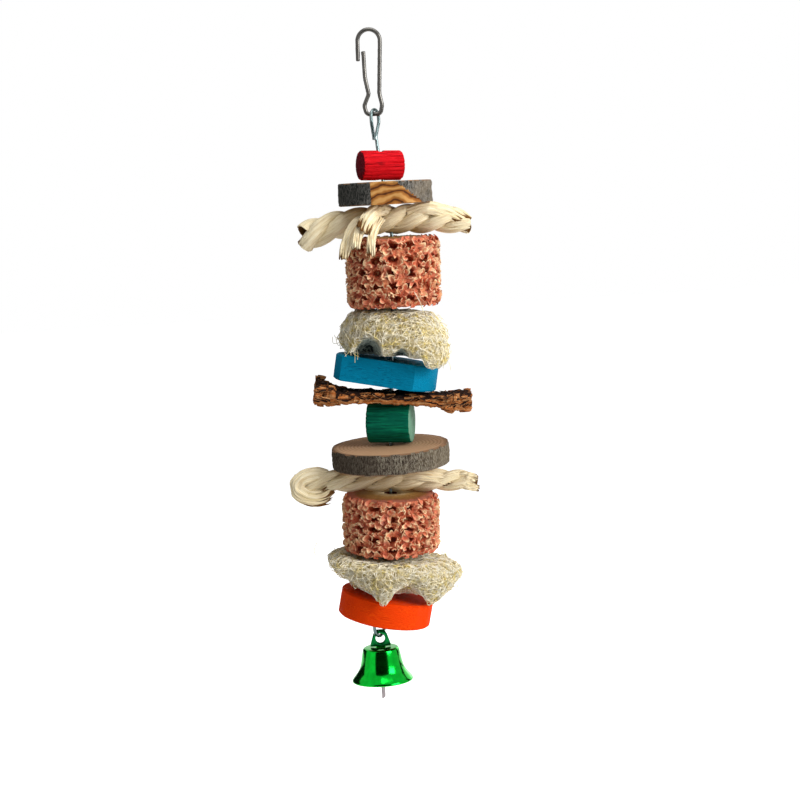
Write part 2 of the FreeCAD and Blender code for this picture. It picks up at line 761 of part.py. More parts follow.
hanger_hole_z = (loop_foot + wire_radius + size.link_gap - size.hanger_hole / 2)
crown_z = hanger_hole_z - size.hanger_drop
strip_z = crown_z - size.bell_wall - size.tongue_reach - size.tongue_hole / 2 - size.tongue_strip / 2
ring_radius = (size.clapper_ring_bore + size.clapper_ring_wire) / 2
ring_drop = size.clapper_ring_bore / 2 - size.tongue_strip / 2 - size.link_gap
bell_place = FreeCAD.Placement(Vector(size.bow_foot, 0, crown_z), FreeCAD.Rotation())


def make_bell_shell():
    """A thin spun bell: flat crown, steep shoulder, flared mouth and a slot in the crown."""
    crown = size.bell_crown_half
    waist = size.bell_waist_half
    mouth = size.bell_mouth_half
    tall = size.bell_tall
    wall = size.bell_wall
    shoulder = crown + size.bell_shoulder
    outside = [(crown, 0), (shoulder, -size.bell_shoulder), (waist, -0.58 * tall), (mouth, -tall)]
    inside = [(mouth - wall, -tall), (waist - wall, -0.59 * tall), (crown, -wall)]
    body = new_body("bell_shell_body")
    profile = add_sketch(body, "bell_profile", "XZ_Plane")
    add_outline(profile, [(0, 0), *outside, *inside, (0, -wall)])
    spun = body.newObject("PartDesign::Revolution", "bell_spun")
    spun.Profile = profile
    spun.ReferenceAxis = (profile, ["V_Axis"])
    spun.Angle = 360
    slot = add_sketch(body, "tongue_slot_outline", "XY_Plane")
    half = size.tongue_wide / 2 + size.link_gap
    side = size.hanger_thick / 2 + size.link_gap
    add_outline(slot, [(-half, -side), (half, -side), (half, side), (-half, side)])
    pocket = body.newObject("PartDesign::Pocket", "tongue_slot")
    pocket.Profile = slot
    pocket.Midplane = True
    pocket.setExpression("Length", "Sizes.bell_wall * 4")
    keep(body, "bell_shell", bell_place)


def make_hanger():
    """A stamped tab that hangs on the loop, with a tongue down through the bell's crown."""
    base = size.hanger_base / 2
    top = size.hanger_top / 2
    tongue = size.tongue_wide / 2
    hole = size.hanger_drop
    peak = hole + size.hanger_hole / 2 + size.hanger_rim
    foot = strip_z - size.tongue_strip / 2 - crown_z
    seat = size.link_gap
    body = new_body("bell_hanger_body")
    outline = add_sketch(body, "hanger_outline", "XZ_Plane")
    add_outline(outline, [
        (-base, seat), (-tongue, seat), (-tongue, foot), (tongue, foot), (tongue, seat),
        (base, seat), (base, seat + 0.8), (top, peak - 1.6), (top * 0.62, peak),
        (-top * 0.62, peak), (-top, peak - 1.6), (-base, seat + 0.8),
    ])
    add_circle(outline, 0, hole, size.hanger_hole / 2, "Sizes.hanger_hole / 2")
    lower = strip_z + size.tongue_strip / 2 + size.tongue_hole / 2 - crown_z
    add_circle(outline, 0, lower, size.tongue_hole / 2, "Sizes.tongue_hole / 2")
    add_pad(body, "hanger_stamped", outline, "Sizes.hanger_thick")
    keep(body, "bell_hanger", bell_place)


def make_clapper():
    """A ring through the tongue and a plain rod below it, cut off at a slant."""
    ring = new_body("clapper_ring_body")
    section = add_sketch(ring, "clapper_ring_section", "XZ_Plane")
    points = []
    for index in range(6):
        angle = math.pi / 3 * index
        points.append((size.clapper_ring_wire / 2 * math.cos(angle),
                       ring_radius + size.clapper_ring_wire / 2 * math.sin(angle)))
    add_outline(section, points)
    turning = ring.newObject("PartDesign::Revolution", "clapper_ring_turned")
    turning.Profile = section
    turning.ReferenceAxis = (section, ["H_Axis"])
    turning.Angle = 360
    rod = doc.addObject("Part::Cylinder", "clapper_rod")
    rod.setExpression("Radius", "Sizes.clapper_wide / 2")
    rod.setExpression("Height", "Sizes.clapper_long")
    rod_top = -size.clapper_ring_bore / 2 - 0.2
    rod.Placement = FreeCAD.Placement(Vector(0, 0, rod_top - size.clapper_long), FreeCAD.Rotation())
    whole = doc.addObject("Part::Fuse", "clapper_whole")
    whole.Base = ring
    whole.Tool = rod
    slant = doc.addObject("Part::Box", "clapper_slant")
    slant.setExpression("Length", "Sizes.clapper_wide * 4")
    slant.setExpression("Width", "Sizes.clapper_wide * 4")
    slant.setExpression("Height", "Sizes.clapper_wide * 2")
    tip = rod_top - size.clapper_long
    corner = Vector(-size.clapper_wide / 2, -2 * size.clapper_wide, tip)
    leaning = FreeCAD.Rotation(AWAY, math.degrees(math.atan(size.clapper_cut)))
    below = leaning.multVec(Vector(0, 0, -2 * size.clapper_wide))
    slant.Placement = FreeCAD.Placement(corner + below, leaning)
    clapper = doc.addObject("Part::Cut", "clapper_cut_off")
    clapper.Base = whole
    clapper.Tool = slant
    place = Vector(size.bow_foot, 0, strip_z - ring_drop)
    keep(clapper, "clapper", FreeCAD.Placement(place, FreeCAD.Rotation()))


make_clip()
make_spindle()
make_bead("red_bead", size.red_wide, "Sizes.red_long", RED, size.red_turn)
make_slice("top_slice", size.top_slice_wide, "Sizes.top_slice_thick", TOP_SLICE, 0.4, True)
make_husk("upper_husk", UPPER_HUSK)
make_cob("upper_cob", "upper_cob", UPPER_COB)
make_loofah("upper_loofah", UPPER_PAD, 0.9,
            ((-0.5, size.upper_loofah_foot), (-0.3, 1.0), (0.05, 0.97), (0.35, 0.84), (0.5, 0.7)),
            ((-0.5, -0.4, 1.3), (0.05, -0.46, 0.8)))
make_disc("blue_disc", "blue", BLUE)
make_bark()
make_bead("green_bead", size.green_wide, "Sizes.green_long", GREEN, size.green_turn)
make_slice("lower_slice", size.lower_slice_wide, "Sizes.lower_slice_thick", LOWER_SLICE, 2.1,
           False)
make_husk("lower_husk", LOWER_HUSK)
make_cob("lower_cob", "lower_cob", LOWER_COB)
make_loofah("lower_loofah", LOWER_PAD, 2.6,
            ((-0.5, size.lower_loofah_foot), (-0.3, 0.84), (0.05, 0.96), (0.3, 1.0), (0.5, 0.82)),
            ((0.16, -0.46, 1.0),))
make_disc("orange_disc", "orange", ORANGE)
make_bell_shell()
make_hanger()
make_clapper()

doc.recompute()
for item in doc.Objects:
    if "Invalid" in item.State or "Error" in item.State:
        raise RuntimeError("%s did not build: %s" % (item.Name, item.State))
for sub_part in sub_parts:
    shape = sub_part.Shape
    if shape.isNull() or not shape.isValid():
        raise RuntimeError("%s has no valid solid" % sub_part.Label)
    if len(shape.Solids) != 1:
        raise RuntimeError("%s is %d solids" % (sub_part.Label, len(shape.Solids)))
for sub_part in sub_parts:
    sub_part.Shape.exportStep("parts/%s.step" % sub_part.Label)
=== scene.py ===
import json
import math
import random

import bmesh
import bpy
from mathutils import Matrix, Quaternion, Vector, noise


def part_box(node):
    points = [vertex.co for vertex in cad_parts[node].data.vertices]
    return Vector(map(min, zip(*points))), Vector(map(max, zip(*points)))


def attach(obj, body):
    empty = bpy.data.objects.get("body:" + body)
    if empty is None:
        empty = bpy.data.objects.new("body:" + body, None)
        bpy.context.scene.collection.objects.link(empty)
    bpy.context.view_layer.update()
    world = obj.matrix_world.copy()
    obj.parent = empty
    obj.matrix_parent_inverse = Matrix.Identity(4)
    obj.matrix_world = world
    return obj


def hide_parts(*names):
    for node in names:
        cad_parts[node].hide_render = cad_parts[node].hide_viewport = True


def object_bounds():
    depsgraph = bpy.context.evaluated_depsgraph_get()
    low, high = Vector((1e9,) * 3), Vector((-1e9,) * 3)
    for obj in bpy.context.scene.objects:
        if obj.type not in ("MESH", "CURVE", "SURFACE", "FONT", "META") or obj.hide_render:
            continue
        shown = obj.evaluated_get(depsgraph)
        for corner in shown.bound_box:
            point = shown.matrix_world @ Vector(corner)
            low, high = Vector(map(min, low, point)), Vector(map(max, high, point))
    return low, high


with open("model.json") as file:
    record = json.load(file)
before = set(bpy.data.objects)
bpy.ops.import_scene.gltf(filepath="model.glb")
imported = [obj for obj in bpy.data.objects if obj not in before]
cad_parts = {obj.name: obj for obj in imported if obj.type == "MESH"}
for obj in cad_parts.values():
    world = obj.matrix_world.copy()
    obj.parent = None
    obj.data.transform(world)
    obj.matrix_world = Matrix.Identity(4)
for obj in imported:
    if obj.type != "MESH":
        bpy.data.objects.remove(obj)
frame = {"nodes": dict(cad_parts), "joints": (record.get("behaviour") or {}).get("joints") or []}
cad_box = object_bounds()

# A hanging chew toy for a cage bird, seen against white. Lengths are in metres, and MM turns
# millimetres into metres. In millimetres are the sizes of grains and growth rings, the depths
# of bump, and the numbers that describe facets, leaves, lobes, hollows and stray fibres.
MM = 0.001
WELD = 0.001 * MM
RIGHT = Vector((1, 0, 0))
UP = Vector((0, 0, 1))
NONE, FULL = "#000000", "#FFFFFF"
SHADER = "Principled BSDF"

# Where the picture is taken from
CAMERA_AIM = Vector((3.1, 0, -131.2)) * MM
CAMERA_DISTANCE = 680 * MM
CAMERA_ELEVATION = 6.0
CAMERA_ROLL = -3.5
CAMERA_LENS = 85.0

# Wires by their thickness, and bores by their radius
CLIP_WIRE = 1.45 * MM
SPINDLE_WIRE = 1.2 * MM
BEAD_BORE = 1.6 * MM
SLICE_BORE = 1.7 * MM
DISC_BORE = 1.8 * MM
COB_BORE = 2.4 * MM

# A cob has this many columns and rows of kernels
COB_COLUMNS = 16
COB_ROWS = 5

# Three strands of a rope lie this far out from its middle, as a share of its radius
STRAND_OFFSET = 0.536
ROPE_PITCH = 27 * MM

# The blue disc above the bark strip and the green bead below it turn inside these circles
BLUE_DISC_REACH = 21.5 * MM
GREEN_BEAD_REACH = 13 * MM


def seat_of(body):
    """The place and lean of a threaded piece: its middle on the wire, its axis along the wire."""
    for joint in frame["joints"]:
        if joint["child"] == body:
            upright = Vector(joint["axis"]).normalized()
            across = (RIGHT - upright * RIGHT.dot(upright)).normalized()
            turned = Matrix((across, upright.cross(across), upright)).transposed()
            return Matrix.Translation(Vector(joint["pos_m"])) @ turned.to_4x4()
    return Matrix.Identity(4)


def turned_seat(body, turn):
    """A piece's seat, turned some degrees about its own axis."""
    return seat_of(body) @ Matrix.Rotation(math.radians(turn), 4, "Z")


def own_box(body, turn=0.0):
    """A threaded piece's lowest and highest corners in its own seat."""
    back = turned_seat(body, turn).inverted()
    corners = [back @ vertex.co for vertex in frame["nodes"][body].data.vertices]
    low = Vector([min(corner[axis] for corner in corners) for axis in range(3)])
    high = Vector([max(corner[axis] for corner in corners) for axis in range(3)])
    return low, high


def clamp(value, low=0.0, high=1.0):
    return max(low, min(high, value))


# Shader parts

def srgb(code):
    """A hex colour as the linear values that a shader takes."""
    values = [int(code[index:index + 2], 16) / 255 for index in (1, 3, 5)]
    linear = [v / 12.92 if v <= 0.04045 else ((v + 0.055) / 1.055) ** 2.4 for v in values]
    return (*linear, 1.0)


def add(tree, kind, inputs=None, **settings):
    """Adds a node with its settings, its values and its links."""
    node = tree.nodes.new(kind)
    for name, value in settings.items():
        setattr(node, name, value)
    for socket, value in (inputs or {}).items():
        if isinstance(value, bpy.types.NodeSocket):
            tree.links.new(value, node.inputs[socket])
        else:
            node.inputs[socket].default_value = value
    return node


def new_material(name, roughness=0.8, metallic=0.0, **sockets):
    """A material with one principled shader, and its tree to build on."""
    material = bpy.data.materials.new(name)
    material.use_nodes = True
    inputs = material.node_tree.nodes[SHADER].inputs
    inputs["Roughness"].default_value = roughness
    inputs["Metallic"].default_value = metallic
    inputs["Specular IOR Level"].default_value = 0.5 if metallic else 0.12
    for socket, value in sockets.items():
        inputs[socket.replace("_", " ")].default_value = value
    return material, material.node_tree


def finished(material, colour, height=None, depth=0.0, strength=0.6):
    """A material with its colour, and with bump whose depth is a real one in millimetres."""
    tree = material.node_tree
    shader = tree.nodes[SHADER]
    tree.links.new(colour, shader.inputs["Base Color"])
    if height is not None:
        bump = add(tree, "ShaderNodeBump", {"Height": height, "Distance": depth * MM,
                                            "Strength": strength})
        tree.links.new(bump.outputs["Normal"], shader.inputs["Normal"])
    return material


def object_spot(tree):
    return add(tree, "ShaderNodeTexCoord").outputs["Object"]


def seat_spot(tree, body, turn=0.0):
    """Object coordinates turned and centred on a threaded piece."""
    back = turned_seat(body, turn).inverted()
    return add(tree, "ShaderNodeMapping", {
        "Vector": object_spot(tree), "Location": back.to_translation(), "Rotation": back.to_euler(),
    }).outputs["Vector"]


def grains(tree, spot, size, detail=4.0, rough=0.6, distortion=0.0):
    """A noise as a value. The size of one grain is in millimetres: one, or one for each way."""
    sizes = size if isinstance(size, tuple) else (size, size, size)
    counted = add(tree, "ShaderNodeMapping", {
        "Vector": spot, "Scale": [1 / (length * MM) for length in sizes],
    }).outputs["Vector"]
    return add(tree, "ShaderNodeTexNoise", {
        "Vector": counted, "Scale": 1.0, "Detail": detail, "Roughness": rough,
        "Distortion": distortion,
    }).outputs["Fac"]


def rings_of(tree, spot, step, facing, distortion, detail, detail_scale):
    """Rings round an axis as a value."""
    return add(tree, "ShaderNodeTexWave", {
        "Vector": spot, "Scale": 1 / step, "Distortion": distortion, "Detail": detail,
        "Detail Scale": detail_scale,
    }, wave_type="RINGS", rings_direction=facing).outputs["Fac"]


def worked(tree, operation, *values):
    """The result of a sum on values and other nodes' outputs."""
    return add(tree, "ShaderNodeMath", dict(enumerate(values)), operation=operation).outputs[0]


def attribute(tree, name):
    return add(tree, "ShaderNodeAttribute", attribute_name=name).outputs["Fac"]


def way_out(tree, spot, scale=1.0):
    """How far a point lies from the middle line of its piece."""
    flat = add(tree, "ShaderNodeVectorMath", {0: spot, 1: (scale, scale, 0)},
               operation="MULTIPLY").outputs["Vector"]
    return add(tree, "ShaderNodeVectorMath", {0: flat}, operation="LENGTH").outputs["Value"]


def wall_share(tree, spot, inner, outer):
    """How far a point lies through a round wall, from 0 inside to 1 outside."""
    return add(tree, "ShaderNodeMapRange", {
        "Value": way_out(tree, spot), "From Min": inner, "From Max": outer,
    }).outputs["Result"]


def ramp(tree, value, *stops):
    """Colours along a value, each stop a place and a hex colour."""
    node = add(tree, "ShaderNodeValToRGB", {"Fac": value})
    while len(node.color_ramp.elements) < len(stops):
        node.color_ramp.elements.new(0.5)
    for element, (place, code) in zip(node.color_ramp.elements, stops):
        element.position = place
        element.color = srgb(code)
    return node.outputs["Color"]


def blended(tree, factor, first, second):
    """Two colours mixed by a factor."""
    node = add(tree, "ShaderNodeMix", data_type="RGBA", blend_type="MIX")
    for socket, value in ((0, factor), (6, first), (7, second)):
        if isinstance(value, bpy.types.NodeSocket):
            tree.links.new(value, node.inputs[socket])
        else:
            node.inputs[socket].default_value = value
    return node.outputs[2]


def stained(tree, colour, code, value, *stops):
    """A colour with a stain over it, as thick as the grey of the stops along a value."""
    return blended(tree, ramp(tree, value, *stops), colour, srgb(code))


# Mesh tools

def select_nothing():
    if bpy.context.mode != "OBJECT":
        bpy.ops.object.mode_set(mode="OBJECT")
    bpy.ops.object.select_all(action="DESELECT")


def take(piece):
    """Makes a piece the only one selected and the active one."""
    select_nothing()
    piece.select_set(True)
    bpy.context.view_layer.objects.active = piece
    return piece


def start_edit(piece):
    take(piece)
    bpy.ops.object.mode_set(mode="EDIT")
    bpy.ops.mesh.select_mode(type="EDGE")


def end_edit():
    bpy.ops.object.mode_set(mode="OBJECT")


def pick(piece, test, part="faces"):
    """Selects the faces or edges that pass a test, in edit mode."""
    shape = bmesh.from_edit_mesh(piece.data)
    bpy.ops.mesh.select_all(action="DESELECT")
    for item in getattr(shape, part):
        item.select_set(bool(test(item)))
    shape.select_flush_mode()
    bmesh.update_edit_mesh(piece.data)


def edit_whole(piece, operator, **settings):
    """Runs one operator on the whole of a piece."""
    start_edit(piece)
    bpy.ops.mesh.select_all(action="SELECT")
    operator(**settings)
    end_edit()


def close_ends(piece):
    """Fills the open rims of a turned form."""
    start_edit(piece)
    pick(piece, lambda edge: edge.is_boundary, "edges")
    bpy.ops.mesh.edge_face_add()
    end_edit()


def named(name):
    """The primitive just added, under its own name."""
    piece = bpy.context.object
    piece.name = name
    piece.data.name = name
    return piece


def linked(name, data):
    """A new object in the scene, made of its data."""
    piece = bpy.data.objects.new(name, data)
    bpy.context.scene.collection.objects.link(piece)
    return piece


def built(name, shape):
    """A bmesh as a piece of its own."""
    mesh = bpy.data.meshes.new(name)
    shape.to_mesh(mesh)
    shape.free()
    return linked(name, mesh)


def apply_modifier(piece, kind, **settings):
    take(piece)
    modifier = piece.modifiers.new(kind.lower(), kind)
    for name, value in settings.items():
        setattr(modifier, name, value)
    bpy.ops.object.modifier_apply(modifier=modifier.name)


def weather(piece, grain, depth):
    """Uneven surface: hollows and swells of one size and depth."""
    texture = bpy.data.textures.new(piece.name + "_unevenness", "CLOUDS")
    texture.noise_scale = grain
    apply_modifier(piece, "DISPLACE", texture=texture, texture_coords="LOCAL", strength=depth,
                   mid_level=0.5)


def remesh(piece, voxel):
    apply_modifier(piece, "REMESH", mode="VOXEL", voxel_size=voxel)


def drill(piece, radius, depth):
    """Drills a piece through along its own axis."""
    select_nothing()
    bpy.ops.mesh.primitive_cylinder_add(vertices=32, radius=radius, depth=depth)
    bit = named(piece.name + "_drill")
    apply_modifier(piece, "BOOLEAN", object=bit, operation="DIFFERENCE", solver="EXACT")
    bpy.data.objects.remove(bit)


def smooth(piece, angle):
    take(piece)
    bpy.ops.object.shade_smooth_by_angle(angle=math.radians(angle))


def smooth_all(piece):
    take(piece)
    bpy.ops.object.shade_smooth()


def place(piece, matrix):
    piece.data.transform(matrix)
    piece.data.update()


def wear(piece, *materials):
    piece.data.materials.clear()
    for material in materials:
        piece.data.materials.append(material)


def hang(piece, body, nodes):
    """Lets a piece ride on its body and stand for its CAD nodes."""
    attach(piece, body)
    if nodes:
        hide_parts(*nodes)


def lathe(name, rings, sides, closed=True):
    """A turned form: one circle extruded from ring to ring, each ring a radius and a height."""
    before = rings[0]
    select_nothing()
    bpy.ops.mesh.primitive_circle_add(vertices=sides, radius=before[0], location=(0, 0, before[1]))
    bpy.ops.object.transform_apply(location=True)
    piece = named(name)
    start_edit(piece)
    bpy.ops.mesh.select_all(action="SELECT")
    for radius, height in rings[1:]:
        step = {"value": (0, 0, height - before[1])}
        bpy.ops.mesh.extrude_edges_move(TRANSFORM_OT_translate=step)
        grow = radius / before[0]
        bpy.ops.transform.resize(value=(grow, grow, 1), center_override=(0, 0, height))
        before = (radius, height)
    if closed:
        pick(piece, lambda edge: edge.is_boundary, "edges")
        bpy.ops.mesh.bridge_edge_loops()
    bpy.ops.mesh.select_all(action="SELECT")
    bpy.ops.mesh.remove_doubles(threshold=WELD)
    bpy.ops.mesh.normals_make_consistent(inside=False)
    end_edit()
    return piece


def copy_of(node, name):
    """A CAD node's form as a piece of its own, with its doubled points merged."""
    piece = linked(name, frame["nodes"][node].data.copy())
    piece.data.name = name
    edit_whole(piece, bpy.ops.mesh.remove_doubles, threshold=WELD)
    return piece


# Wires

def plated_wire(name, colour, shade):
    """Plated steel wire: bright, with a faint drawn grain and dull patches."""
    material, tree = new_material(name, roughness=0.24, metallic=1.0)
    patches = grains(tree, object_spot(tree), (3, 3, 9), 2.0)
    drawn = grains(tree, object_spot(tree), (0.15, 0.15, 2))
    colour = ramp(tree, patches, (0.3, shade), (0.7, colour))
    return finished(material, colour, drawn, 0.004, 0.08)


def make_wire(node, name, wide, finish, body):
    """A drawn wire: the CAD wire's flats swelled and rounded off."""
    wire = copy_of(node, name)
    edit_whole(wire, bpy.ops.transform.shrink_fatten, value=0.1 * wide / 2)
    remesh(wire, 0.21 * MM)
    apply_modifier(wire, "SMOOTH", factor=0.5, iterations=8)
    smooth_all(wire)
    wear(wire, finish)
    hang(wire, body, [node])


# Beads, slices and discs

def dyed_wood(name, body, dark, plain, lit, grain_axis, turn=0.0):
    """Dyed softwood: the dye sinks deeper into the open grain, so the grain shows darker."""
    material, tree = new_material(name, roughness=0.62, Specular_IOR_Level=0.03)
    spot = seat_spot(tree, body, turn)
    long, fine = 9, 0.42
    sizes = {"x": (long, fine, fine), "z": (fine, fine, long)}
    fibre = grains(tree, spot, sizes[grain_axis], 5.0, 0.65, 0.4)
    cloud = grains(tree, spot, (6, 6, 3), 3.0)
    colour = ramp(tree, fibre, (0.36, dark), (0.47, plain), (0.66, lit))
    colour = stained(tree, colour, plain, cloud, (0.4, NONE), (0.62, FULL))
    return finished(material, colour, fibre, 0.3, 0.7)


def make_bead(body, turn, colours, end_colours):
    """A short dowel, its ends softened and its grain raised, drilled across for the wire."""
    low, high = own_box(body, turn)
    radius, half = high.y, high.x
    bevel, centre = 0.6 * MM, 0.3 * MM
    wall_steps = 14
    groove_long, groove_deep = 14 * MM, 0.4 * MM
    foot = [(centre, -half), (radius * 0.55, -half), (radius - bevel, -half),
            (radius - bevel * 0.3, -half + bevel * 0.3), (radius, -half + bevel)]
    wall = [(radius, -half + bevel + (2 * half - 2 * bevel) * step / wall_steps)
            for step in range(1, wall_steps)]
    head = [(ring_radius, -height) for ring_radius, height in reversed(foot)]
    bead = lathe(body + "_dowel", foot + wall + head, 120, closed=False)
    close_ends(bead)
    for vertex in bead.data.vertices:
        angle = math.atan2(vertex.co.y, vertex.co.x)
        groove = noise.noise(Vector((9 * math.cos(angle), 9 * math.sin(angle),
                                     vertex.co.z / groove_long)) + Vector((radius / MM, 0, 0)))
        out = vertex.co.xy.length / radius
        sink = groove_deep * max(0.0, groove - 0.02) * 2.4
        vertex.co.xy *= 1 - sink / radius * out
    place(bead, Matrix.Rotation(math.radians(90), 4, "Y"))
    drill(bead, BEAD_BORE, radius * 3)
    smooth(bead, 40)
    seat = turned_seat(body, turn)
    place(bead, seat)
    wear(bead, dyed_wood(body + "_dye", body, *colours, "x", turn),
         dyed_wood(body + "_end_grain", body, *end_colours, "z", turn))
    axis = seat.to_3x3() @ RIGHT
    for face in bead.data.polygons:
        face.material_index = 1 if abs(face.normal.dot(axis)) > 0.85 else 0
    hang(bead, body, [body])


def sawn_wood(body, pale, ring, heart, ring_step):
    """The sawn end of a branch: growth rings round a darker heart, furred by the saw."""
    material, tree = new_material(body + "_sawn", roughness=0.85)
    spot = seat_spot(tree, body)
    low, high = own_box(body)
    rings = rings_of(tree, spot, ring_step * MM * 3.2, "Z", 1.6, 2.0, 1.4)
    fibre = grains(tree, spot, (0.5, 3.5, 0.5), 5.0)
    out = way_out(tree, spot)
    middle = worked(tree, "MULTIPLY", out, 1 / (7 * MM))
    rim = worked(tree, "MULTIPLY", out, 2 / (high.x - low.x))
    colour = ramp(tree, rings, (0.1, ring), (0.55, pale), (0.9, pale))
    colour = stained(tree, colour, heart, middle, (0.5, FULL), (1.0, NONE))
    colour = stained(tree, colour, "#5A3A26", rim, (0.905, NONE), (0.94, "#D0D0D0"))
    colour = stained(tree, colour, ring, fibre, (0.35, "#4A4A4A"), (0.6, NONE))
    return finished(material, colour, fibre, 0.2, 0.6)


def living_bark(body, dark, plain, pale, painted_light, shaded):
    """Thin branch bark with short upright cracks, darker with painted shade on its left side and
    paler with painted light on its right side.
    """
    material, tree = new_material(body + "_bark", roughness=0.95, Specular_IOR_Level=0.05)
    spot = seat_spot(tree, body)
    speckle = grains(tree, spot, (0.38, 0.38, 1.3), 6.0, 0.75, 0.5)
    patch = grains(tree, spot, (5, 5, 4), 3.0)
    across = add(tree, "ShaderNodeSeparateXYZ", {"Vector": spot}).outputs["X"]
    # side runs from the bark's left to its right, broken up by patches; it places the painted shade
    # and the painted light below.
    side = worked(tree, "MULTIPLY_ADD", across, 1 / (40 * MM), patch)
    colour = ramp(tree, speckle, (0.4, dark), (0.49, plain), (0.58, pale), (0.72, plain))
    # Painted shade over the bark's left side, then painted light over its right side.
    colour = stained(tree, colour, shaded, side, (0.3, "#C8C8C8"), (0.55, NONE))
    colour = stained(tree, colour, painted_light, side, (0.6, NONE), (0.95, "#9A9A9A"))
    return finished(material, colour, speckle, 0.9, 0.9)


def pared_knot():
    """Pared wood at a knot: arched amber layers round a duller core."""
    material, tree = new_material("pared_knot", roughness=0.7)
    arched = add(tree, "ShaderNodeMapping", {
        "Vector": seat_spot(tree, "top_slice"), "Location": (-2.5 * MM, 0, 5.5 * MM),
        "Scale": (0.62, 1, 1),
    }).outputs["Vector"]
    layers = rings_of(tree, arched, 9.0 * MM, "Y", 7.0, 3.0, 1.2)
    colour = ramp(tree, layers, (0.03, "#4E2A10"), (0.14, "#8A5424"), (0.6, "#A26A30"),
                  (0.9, "#C08E52"))
    return finished(material, colour, layers, 0.2, 0.5)


def drum_rings(outer, bore, half, bevel, wall_steps, face_steps):
    """The section of a drilled slice: up the bark, across the top, down the bore."""
    bore_edge = 0.2 * MM
    wall = [(outer, -half + bevel + (2 * half - 2 * bevel) * step / wall_steps)
            for step in range(wall_steps + 1)]
    face = [outer - bevel - (outer - bevel - bore) * step / face_steps
            for step in range(face_steps)]
    return (wall + [(radius, half) for radius in face]
            + [(bore, half - bore_edge), (bore, -half + bore_edge)]
            + [(radius, -half) for radius in reversed(face)])


def ragged(piece, outer, uneven, fine):
    """An uneven round: broad swells of the branch and the roughness of its bark."""
    for vertex in piece.data.vertices:
        flat = vertex.co.xy.length
        if flat < outer * 0.3:
            continue
        angle = math.atan2(vertex.co.y, vertex.co.x)
        turn = Vector((math.cos(angle), math.sin(angle), 0))
        swell = noise.noise(turn * 1.3 + Vector((outer * 300, 0, 0)))
        edge = max(0.0, (flat / outer - 0.9) / 0.1)
        rough = noise.fractal(vertex.co / (2.2 * MM), 0.8, 2.2, 4) * edge
        vertex.co.xy *= 1 + (swell * uneven + rough * fine) / outer


def make_slice(body, wood, bark):
    """A slice sawn off a branch with its bark on."""
    low, high = own_box(body)
    outer, half = (high.x - low.x) / 2, high.z
    rings = drum_rings(outer - 0.5 * MM, SLICE_BORE, half, 0.35 * MM, 10, 8)
    branch = lathe(body + "_sawn", rings, 160)
    ragged(branch, outer, 0.5 * MM, 0.45 * MM)
    wear(branch, living_bark(body, *bark), sawn_wood(body, *wood))
    for face in branch.data.polygons:
        level = abs(face.normal.z) > 0.7 or face.center.xy.length < outer * 0.5
        face.material_index = 1 if level else 0
    if body == "top_slice":
        whittle(branch, outer, half)
    smooth(branch, 40)
    place(branch, seat_of(body))
    hang(branch, body, [body])


def whittle(branch, outer, half):
    """A knot pared flat at the front, where the layers under the bark show."""
    branch.data.materials.append(pared_knot())
    front = -outer + 1.5 * MM
    left, right_low, right_high = -5.0 * MM, 13.2 * MM, 3.4 * MM
    margin = 0.3 * MM

    def right_at(height):
        return right_low + (right_high - right_low) * ((height + half) / (2 * half))

    for vertex in branch.data.vertices:
        if left < vertex.co.x < right_at(vertex.co.z) and vertex.co.y < front:
            vertex.co.y = front + 0.12 * MM * noise.noise(vertex.co / (1.2 * MM))
    for face in branch.data.polygons:
        inside = left - margin < face.center.x < right_at(face.center.z) + margin
        if inside and face.center.y < -outer * 0.6 and abs(face.normal.z) < 0.7:
            face.material_index = 2


def make_disc(body, colours, facets):
    """A dyed slice of wood: oval, edges crisp from the saw, with facets where sides were cut."""
    low, high = own_box(body)
    half, deep = high.z, high.y
    wide, off = (high.x - low.x) / 2, (high.x + low.x) / 2
    disc = lathe(body + "_slab", drum_rings(deep, DISC_BORE, half, 0.5 * MM, 8, 6), 144)
    for vertex in disc.data.vertices:
        outwards = min(1.0, vertex.co.xy.length / deep)
        vertex.co.x = vertex.co.x * (1 + (wide / deep - 1) * outwards) + off * outwards
        angle = math.atan2(vertex.co.y, vertex.co.x)
        wave = noise.noise(Vector((math.cos(angle), math.sin(angle), wide * 200)) * 1.5)
        vertex.co.xy *= 1 + 0.25 * MM * wave * outwards / deep
    for where, facing in facets:
        edit_whole(disc, bpy.ops.mesh.bisect, plane_co=Vector(where) * MM, plane_no=facing,
                   use_fill=True, clear_outer=True)
    weather(disc, 3.0 * MM, 0.12 * MM)
    smooth(disc, 30)
    place(disc, seat_of(body))
    wear(disc, dyed_wood(body + "_dye", body, *colours, "x"))
    hang(disc, body, [body])


# Cobs

def mottled(tree, spot, colour):
    """The cob's own unevenness: a few millimetres of purple here and of straw there."""
    stain = grains(tree, spot, 1.9, 3.0)
    colour = stained(tree, colour, "#7E4652", stain, (0.56, NONE), (0.66, "#A8A8A8"))
    return stained(tree, colour, "#F0CE96", stain, (0.34, "#B0B0B0"), (0.44, NONE))


